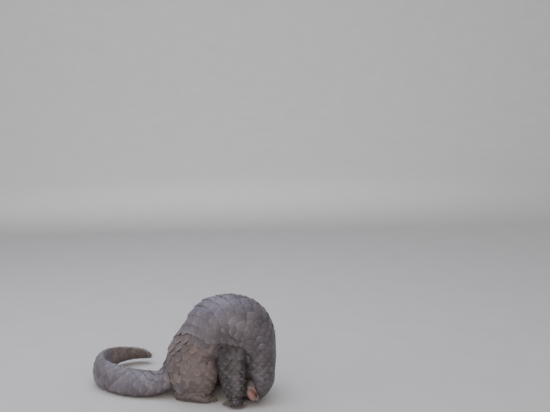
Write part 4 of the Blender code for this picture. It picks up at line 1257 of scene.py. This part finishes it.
def hair_roots(obj, count):
    """For each hair: its root, the ways outwards and along, the nearest row, and the cover."""
    mesh = obj.data
    corners = np.empty(len(mesh.loop_triangles) * 3, np.int32)
    mesh.loop_triangles.foreach_get("vertices", corners)
    corners = corners.reshape(-1, 3)
    points = points_of(mesh)
    cover, flush = (np.empty(len(points), np.float32) for _ in range(2))
    mesh.attributes["covered"].data.foreach_get("value", cover)
    mesh.attributes["flushed"].data.foreach_get("value", flush)
    a, b, c = (points[corners[:, k]] for k in range(3))
    facing = np.cross(b - a, c - a)
    area = np.linalg.norm(facing, axis=1) / 2
    hidden, blush = cover[corners].mean(axis=1), flush[corners].mean(axis=1)
    weight = area * (COVERED_HAIR - hidden) * (blush < MOST_FLUSH) * (a[:, 2] > HAIR_ABOVE)
    picked = draw.choice(len(corners), count, p=weight / weight.sum())
    u, v = draw.random((2, count))
    u, v = np.where(u + v > 1, 1 - u, u), np.where(u + v > 1, 1 - v, v)
    roots = a[picked] + (b - a)[picked] * u[:, None] + (c - a)[picked] * v[:, None]
    out = unit(facing[picked])
    tree = near_finder(all_rows[:, PLACE])
    near = np.array([tree.find(root)[1] for root in roots])
    lie = all_rows[near, ALONG] + LIE_SPREAD * draw.normal(size=(count, 3))
    lie = unit(lie - out * (lie * out).sum(axis=1)[:, None])
    return roots, out, lie, near, hidden[picked]


all_rows = np.concatenate([line.table for line in [body, *limbs]])
row_starts = np.concatenate([[0], np.cumsum([len(line.table) for line in [body, *limbs]])])
roots, root_out, root_lie, near_row, root_cover = hair_roots(skin, BRISTLES)
print(len(roots), "roots")

# %% Grow the bristles
# Along a bristle: how far, and how wide it is there.
BRISTLE_SHARES, BRISTLE_WIDTHS = np.array([0.0, 0.30, 0.65, 1.0]), (1.0, 0.85, 0.55, 0.10)
BRISTLE_LEAN, BRISTLE_BEND = 0.62, 0.5
BRISTLE_RADIUS, BRISTLE_ROOT, BRISTLE_SIDES = 0.00016, 0.0004, 3
FACE_LENGTH, BELLY_LENGTH, GAP_LENGTH, GAP_COVER = 0.0034, 0.0110, 0.0070, 0.3
LENGTH_SPREAD = (0.6, 1.3)
# The face lies below this height and between these two distances.
FACE_BELOW, FACE_FROM, FACE_TO = 0.075, 0.12, 0.215


def hair_lengths(roots, near, cover):
    """Short on the face and the feet, longer between scales, and longest on the belly."""
    face = (near < row_starts[1]) & (roots[:, 2] < FACE_BELOW)
    face &= (roots[:, 0] < FACE_TO) & (roots[:, 0] > FACE_FROM)
    on_foot = near >= row_starts[1 + len(legs)]
    length = np.where(cover > GAP_COVER, GAP_LENGTH, BELLY_LENGTH)
    return np.where(face | on_foot, FACE_LENGTH, length) * draw.uniform(*LENGTH_SPREAD, len(roots))


def hair_points(roots, out, lie, length):
    """Rings of points up each hair, which bends over as it rises."""
    side = np.cross(lie, out)
    points = []
    for share, wide in zip(BRISTLE_SHARES, BRISTLE_WIDTHS):
        rise = (1 - BRISTLE_LEAN * share) * share
        forward = BRISTLE_LEAN * (share + BRISTLE_BEND * share**2)
        centre = roots + lie * (length * forward)[:, None]
        centre = centre + out * (length * rise - BRISTLE_ROOT)[:, None]
        for k in range(BRISTLE_SIDES):
            turn = 2 * math.pi * k / BRISTLE_SIDES
            points.append(centre + (side * math.cos(turn) + out * math.sin(turn)) * BRISTLE_RADIUS * wide)
    return np.clip(np.stack(points, axis=1), BOX_LOW, BOX_HIGH)


def hair_faces():
    """The faces of one hair: its two ends, and a band between one ring and the next."""
    sides, rings = BRISTLE_SIDES, len(BRISTLE_SHARES)
    last = sides * rings
    faces = [(2, 1, 0), (last - 3, last - 2, last - 1)]
    for low in range(0, last - sides, sides):
        for k in range(sides):
            after = (k + 1) % sides
            faces.append((low + k, low + after, low + sides + after, low + sides + k))
    return faces


def hair_patches(roots, near):
    """A small patch of the map for each hair."""
    along = (near - row_starts[np.searchsorted(row_starts, near, "right") - 1]) / 1000
    corner = np.column_stack([along % 1, (roots[:, 2] * 3 + roots[:, 1]) % 1]) * BAKE_ROOM + BAKE_CORNER
    rings = len(BRISTLE_SHARES)
    patch = np.column_stack([np.tile([0.0, 1.0, 0.5], rings), np.repeat(BRISTLE_SHARES, BRISTLE_SIDES)])
    return (corner[:, None] + patch * BAKE_PATCH).reshape(-1, 2)


lengths = hair_lengths(roots, near_row, root_cover)
rings = hair_points(roots, root_out, root_lie, lengths)
hair_shape = repeated(hair_faces(), rings.shape[1], len(roots))
maps = {"OFBake": hair_patches(roots, near_row)}
hairs = filled_mesh("bristles", rings.reshape(-1, 3), hair_shape, maps, {})
print("bristles", len(hairs.data.polygons), "faces")

# %% [markdown]
# ## Eyes
# A pangolin's eye is small, dark and wet, and sits deep between thick lids. It is a ball with a
# slight bulge of the cornea in front.

# %% Make the eyes
EYE_RADIUS, CORNEA, CORNEA_POWER = 0.0046, 0.0004, 6
eyes = {}
for side, left in SIDES:
    point, axes = side_frame(*EYE, left)
    centre = shifted(point, axes, (0, 0, -EYE_SUNK))
    eye = ball(centre, (EYE_RADIUS,) * 3, axes, f"eyeball_{side}")
    for vert in eye.data.vertices:
        out = (vert.co - centre).dot(axes[2]) / EYE_RADIUS
        vert.co += axes[2] * (CORNEA * max(0.0, out) ** CORNEA_POWER)
    eye.data.shade_smooth()
    eyes[side] = eye
print(len(eyes), "eyes")

# %% [markdown]
# ## Scale horn
# The coat is keratin, the same stuff as a fingernail, grown forward in layers and worn by soil.
# Grown horn shows fine grooves along each plate and faint lines across it, a satin sheen and
# paler, scuffed tips. Real grooves lie about 0.5 mm apart, too fine to show from here, so they
# are drawn about 1.2 mm apart. The pattern reads each scale's own map, in millimetres.

# %% Patterns of the horn
GROOVES, LINES, BLOTCH = (0.85, 0.045, 1.0), (0.03, 0.35, 1.0), 0.11
horn, tree, shader = new_finish("grown_keratin_scale")
map_mm = add_node(tree, "UVMap", uv_map="Striae").outputs[0]
grooves_at = add_node(tree, "Mapping", {"Vector": map_mm, "Scale": GROOVES}).outputs[0]
fine_noise = {"Vector": grooves_at, "Scale": 1.0, "Detail": 3.0, "Roughness": 0.6}
grooves = add_node(tree, "TexNoise", fine_noise).outputs["Fac"]
lines_at = add_node(tree, "Mapping", {"Vector": map_mm, "Scale": LINES}).outputs[0]
lines = add_node(tree, "TexNoise", {"Vector": lines_at, "Scale": 1.0, "Detail": 2.0}).outputs["Fac"]
wide_noise = {"Vector": map_mm, "Scale": BLOTCH, "Detail": 4.0, "Roughness": 0.65}
blotch = add_node(tree, "TexNoise", wide_noise).outputs["Fac"]
# Per scale: random tone, brown share against painted skylight slate, painted shade, and wear.
attributes = [add_node(tree, "Attribute", attribute_name=name) for name in ("tone", "brown_and_sky", "painted_shade", "worn")]
tone, brown_and_sky, painted_shade, worn = (node.outputs["Fac"] for node in attributes)


def ranged(value, source, target):
    """Inputs that take a value from one range to another."""
    names = ("From Min", "From Max", "To Min", "To Max")
    return {"Value": value, **dict(zip(names, (*source, *target)))}


print("grooves", round(1 / GROOVES[0], 1), "mm apart")

# %% Colours of the horn
# Horn painted slate for the skylight on the back and the tail's bend, and browner elsewhere,
# changing from scale to scale, each scale a little paler or darker at random. Painted shade
# darkens the head, neck, shoulders, forelegs and the scales near the floor. The horn is darker in
# the low parts of the grooves, with patches of dried soil, and a pale scuffed tip.
# The slate stands for skylight on the horn; the brown is the horn's own colour.
slate, brown = linear("#706a77"), linear("#8a786f")
base = add_node(tree, "Mix", {SHARE: brown_and_sky, FIRST: slate, SECOND: brown}, **COLOUR).outputs[MIXED]
# Painted shade: shaded scales are mixed towards a near-black grey.
base = add_node(tree, "Mix", {SHARE: painted_shade, FIRST: base, SECOND: linear("#29252c")}, **COLOUR).outputs[MIXED]
lighter = add_node(tree, "MapRange", ranged(tone, (-2.0, 2.0), (0.72, 1.30))).outputs[0]
grey = add_node(tree, "CombineColor", {0: lighter, 1: lighter, 2: lighter}).outputs[0]
shaded = {SHARE: 1.0, FIRST: base, SECOND: grey}
base = add_node(tree, "Mix", shaded, blend_type="MULTIPLY", **COLOUR).outputs[MIXED]
# Darker in the low parts of the grooves.
groove_dark = add_node(tree, "MapRange", ranged(grooves, (0.35, 0.62), (0.55, 0.0))).outputs[0]
base = add_node(tree, "Mix", {SHARE: groove_dark, FIRST: base, SECOND: linear("#2b2622")}, **COLOUR).outputs[MIXED]
soil = add_node(tree, "MapRange", ranged(blotch, (0.48, 0.72), (0.0, 0.45))).outputs[0]
base = add_node(tree, "Mix", {SHARE: soil, FIRST: base, SECOND: linear("#736a62")}, **COLOUR).outputs[MIXED]
# Scales darkened by painted shade show less of their pale worn tips.
less = add_node(tree, "MapRange", ranged(painted_shade, (0.0, 1.0), (1.0, 0.75))).outputs[0]
worn = add_node(tree, "Math", {0: worn, 1: less}, operation="MULTIPLY").outputs[0]
ridges = add_node(tree, "MapRange", ranged(grooves, (0.30, 0.60), (0.15, 0.75))).outputs[0]
scuff = add_node(tree, "Math", {0: worn, 1: ridges}, operation="MULTIPLY").outputs[0]
base = add_node(tree, "Mix", {SHARE: scuff, FIRST: base, SECOND: linear("#968f8a")}, **COLOUR).outputs[MIXED]
tree.links.new(base, shader.inputs["Base Color"])
print("horn colour", [round(c, 3) for c in slate[:3]])

# %% Gloss and relief of the horn
KERATIN_IOR = 1.54
gloss = add_node(tree, "MapRange", ranged(blotch, (0.3, 0.7), (0.34, 0.52))).outputs[0]
tree.links.new(gloss, shader.inputs["Roughness"])
relief = add_node(tree, "Bump", {"Height": grooves, "Strength": 0.55, "Distance": 0.0006}).outputs[0]
relief = add_node(tree, "Bump", {"Height": lines, "Strength": 0.25, "Distance": 0.0005, "Normal": relief})
tree.links.new(relief.outputs[0], shader.inputs["Normal"])
shader.inputs["IOR"].default_value = KERATIN_IOR
for coat in coats.values():
    coat.data.materials.append(horn)
print(len(coats), "coats of scales finished")

# %% [markdown]
# ## Bare skin
# Bare pangolin skin is a dull pinkish grey, finely creased like the back of a hand, and pinker
# on the ears, the nose and round the eyes. Creases about 2 mm apart are cells of a Voronoi
# pattern in the bump, and painted shade darkens them. Blood under thin skin gives a little light
# back from below the surface.

# %% Finish the skin
# Creases, mottles and pores to a metre.
CREASES, MOTTLES, PORES = 520.0, 110.0, 1300.0
hide, tree, shader = new_finish("bare_creased_skin")
where = add_node(tree, "TexCoord").outputs["Object"]
cells = add_node(tree, "TexVoronoi", {"Vector": where, "Scale": CREASES}, feature="DISTANCE_TO_EDGE")
mottle = add_node(tree, "TexNoise", {"Vector": where, "Scale": MOTTLES, "Detail": 5.0, "Roughness": 0.6})
pores = add_node(tree, "TexNoise", {"Vector": where, "Scale": PORES, "Detail": 2.0})
cover = add_node(tree, "Attribute", attribute_name="covered").outputs["Fac"]
flush = add_node(tree, "Attribute", attribute_name="flushed").outputs["Fac"]
dull, pale = linear("#6b6462"), linear("#857d79")
mottled = {SHARE: mottle.outputs["Fac"], FIRST: dull, SECOND: pale}
base = add_node(tree, "Mix", mottled, **COLOUR).outputs[MIXED]
base = add_node(tree, "Mix", {SHARE: flush, FIRST: base, SECOND: linear("#c07f78")}, **COLOUR).outputs[MIXED]
# Covered skin goes deep brown: its own darker colour, and painted shade in the gaps between scales.
base = add_node(tree, "Mix", {SHARE: cover, FIRST: base, SECOND: linear("#2c2622")}, **COLOUR).outputs[MIXED]
# Painted shade darkens the creases.
crease = add_node(tree, "MapRange", ranged(cells.outputs["Distance"], (0.0, 0.12), (0.45, 0.0))).outputs[0]
base = add_node(tree, "Mix", {SHARE: crease, FIRST: base, SECOND: linear("#5d4b46")}, **COLOUR).outputs[MIXED]
tree.links.new(base, shader.inputs["Base Color"])
shader.inputs["Roughness"].default_value = 0.58
shader.inputs["Subsurface Weight"].default_value = 0.08
shader.inputs["Subsurface Radius"].default_value = (0.004, 0.0015, 0.001)
shader.inputs["Subsurface Scale"].default_value = 1.0
deep = {"Height": cells.outputs["Distance"], "Strength": 0.5, "Distance": 0.0006}
relief = add_node(tree, "Bump", deep).outputs[0]
fine = {"Height": pores.outputs["Fac"], "Strength": 0.2, "Distance": 0.0003, "Normal": relief}
tree.links.new(add_node(tree, "Bump", fine).outputs[0], shader.inputs["Normal"])
skin.data.materials.append(hide)
print("skin colour", [round(c, 3) for c in pale[:3]])

# %% [markdown]
# ## Claw horn, hair and wet eye
# Claws are keratin too, dark brown and worn paler in streaks, because fibres run along their
# length. Hair is pale and dull. The eye is nearly black under a clear wet layer, which the coat
# of the shader gives.

# %% Finish the claws
# Streaks to a metre along the claw and across it: about 17 mm long and 1 mm wide.
STREAKS = (60.0, 900.0, 900.0)
claw_horn, tree, shader = new_finish("fibrous_claw_horn")
where = add_node(tree, "TexCoord").outputs["Object"]
fibres_at = add_node(tree, "Mapping", {"Vector": where, "Scale": STREAKS}).outputs[0]
fibres = add_node(tree, "TexNoise", {"Vector": fibres_at, "Scale": 1.0, "Detail": 3.0})
streaks = {SHARE: fibres.outputs["Fac"], FIRST: linear("#3a332e"), SECOND: linear("#75685a")}
base = add_node(tree, "Mix", streaks, **COLOUR).outputs[MIXED]
tree.links.new(base, shader.inputs["Base Color"])
shader.inputs["Roughness"].default_value = 0.40
relief = add_node(tree, "Bump", {"Height": fibres.outputs["Fac"], "Strength": 0.4, "Distance": 0.0004})
tree.links.new(relief.outputs[0], shader.inputs["Normal"])
for claw in claws.values():
    claw.data.materials.append(claw_horn)
print(len(claws), "claws finished")

# %% Finish the hair and the eyes
# Shades of hair and flecks of the eye, to a metre.
HAIR_SHADES, EYE_FLECKS = 160.0, 700.0
hair, tree, shader = new_finish("pale_body_hair")
where = add_node(tree, "TexCoord").outputs["Object"]
shades = add_node(tree, "TexNoise", {"Vector": where, "Scale": HAIR_SHADES, "Detail": 2.0})
straw = {SHARE: shades.outputs["Fac"], FIRST: linear("#6f655c"), SECOND: linear("#b5a894")}
base = add_node(tree, "Mix", straw, **COLOUR).outputs[MIXED]
tree.links.new(base, shader.inputs["Base Color"])
shader.inputs["Roughness"].default_value = 0.55
hairs.data.materials.append(hair)

wet_eye, tree, shader = new_finish("wet_dark_eye")
where = add_node(tree, "TexCoord").outputs["Object"]
flecks = add_node(tree, "TexNoise", {"Vector": where, "Scale": EYE_FLECKS, "Detail": 2.0})
black = {SHARE: flecks.outputs["Fac"], FIRST: linear("#0b0908"), SECOND: linear("#231712")}
base = add_node(tree, "Mix", black, **COLOUR).outputs[MIXED]
tree.links.new(base, shader.inputs["Base Color"])
shader.inputs["Roughness"].default_value = 0.22
shader.inputs["Coat Weight"].default_value = 1.0
shader.inputs["Coat Roughness"].default_value = 0.03
for eye in eyes.values():
    eye.data.materials.append(wet_eye)
print(len(bpy.data.materials), "materials")

# %% [markdown]
# ## Joining the frame
# Every piece rides on the one body of the model. The skin stands for all nodes of flesh, each
# claw for its own claw, each eye for its own eye, and the scales for nothing, since they lie on
# the skin.

# %% Ride and replace
HORN_NODES = set(claws) | {"eye_right", "eye_left"}
flesh_nodes = [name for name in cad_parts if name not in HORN_NODES]
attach(skin, "root")
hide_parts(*flesh_nodes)
for coat in coats.values():
    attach(coat, "root")
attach(hairs, "root")
for node, claw in claws.items():
    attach(claw, "root")
    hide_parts(node)
for side, eye in eyes.items():
    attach(eye, "root")
    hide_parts(f"eye_{side}")
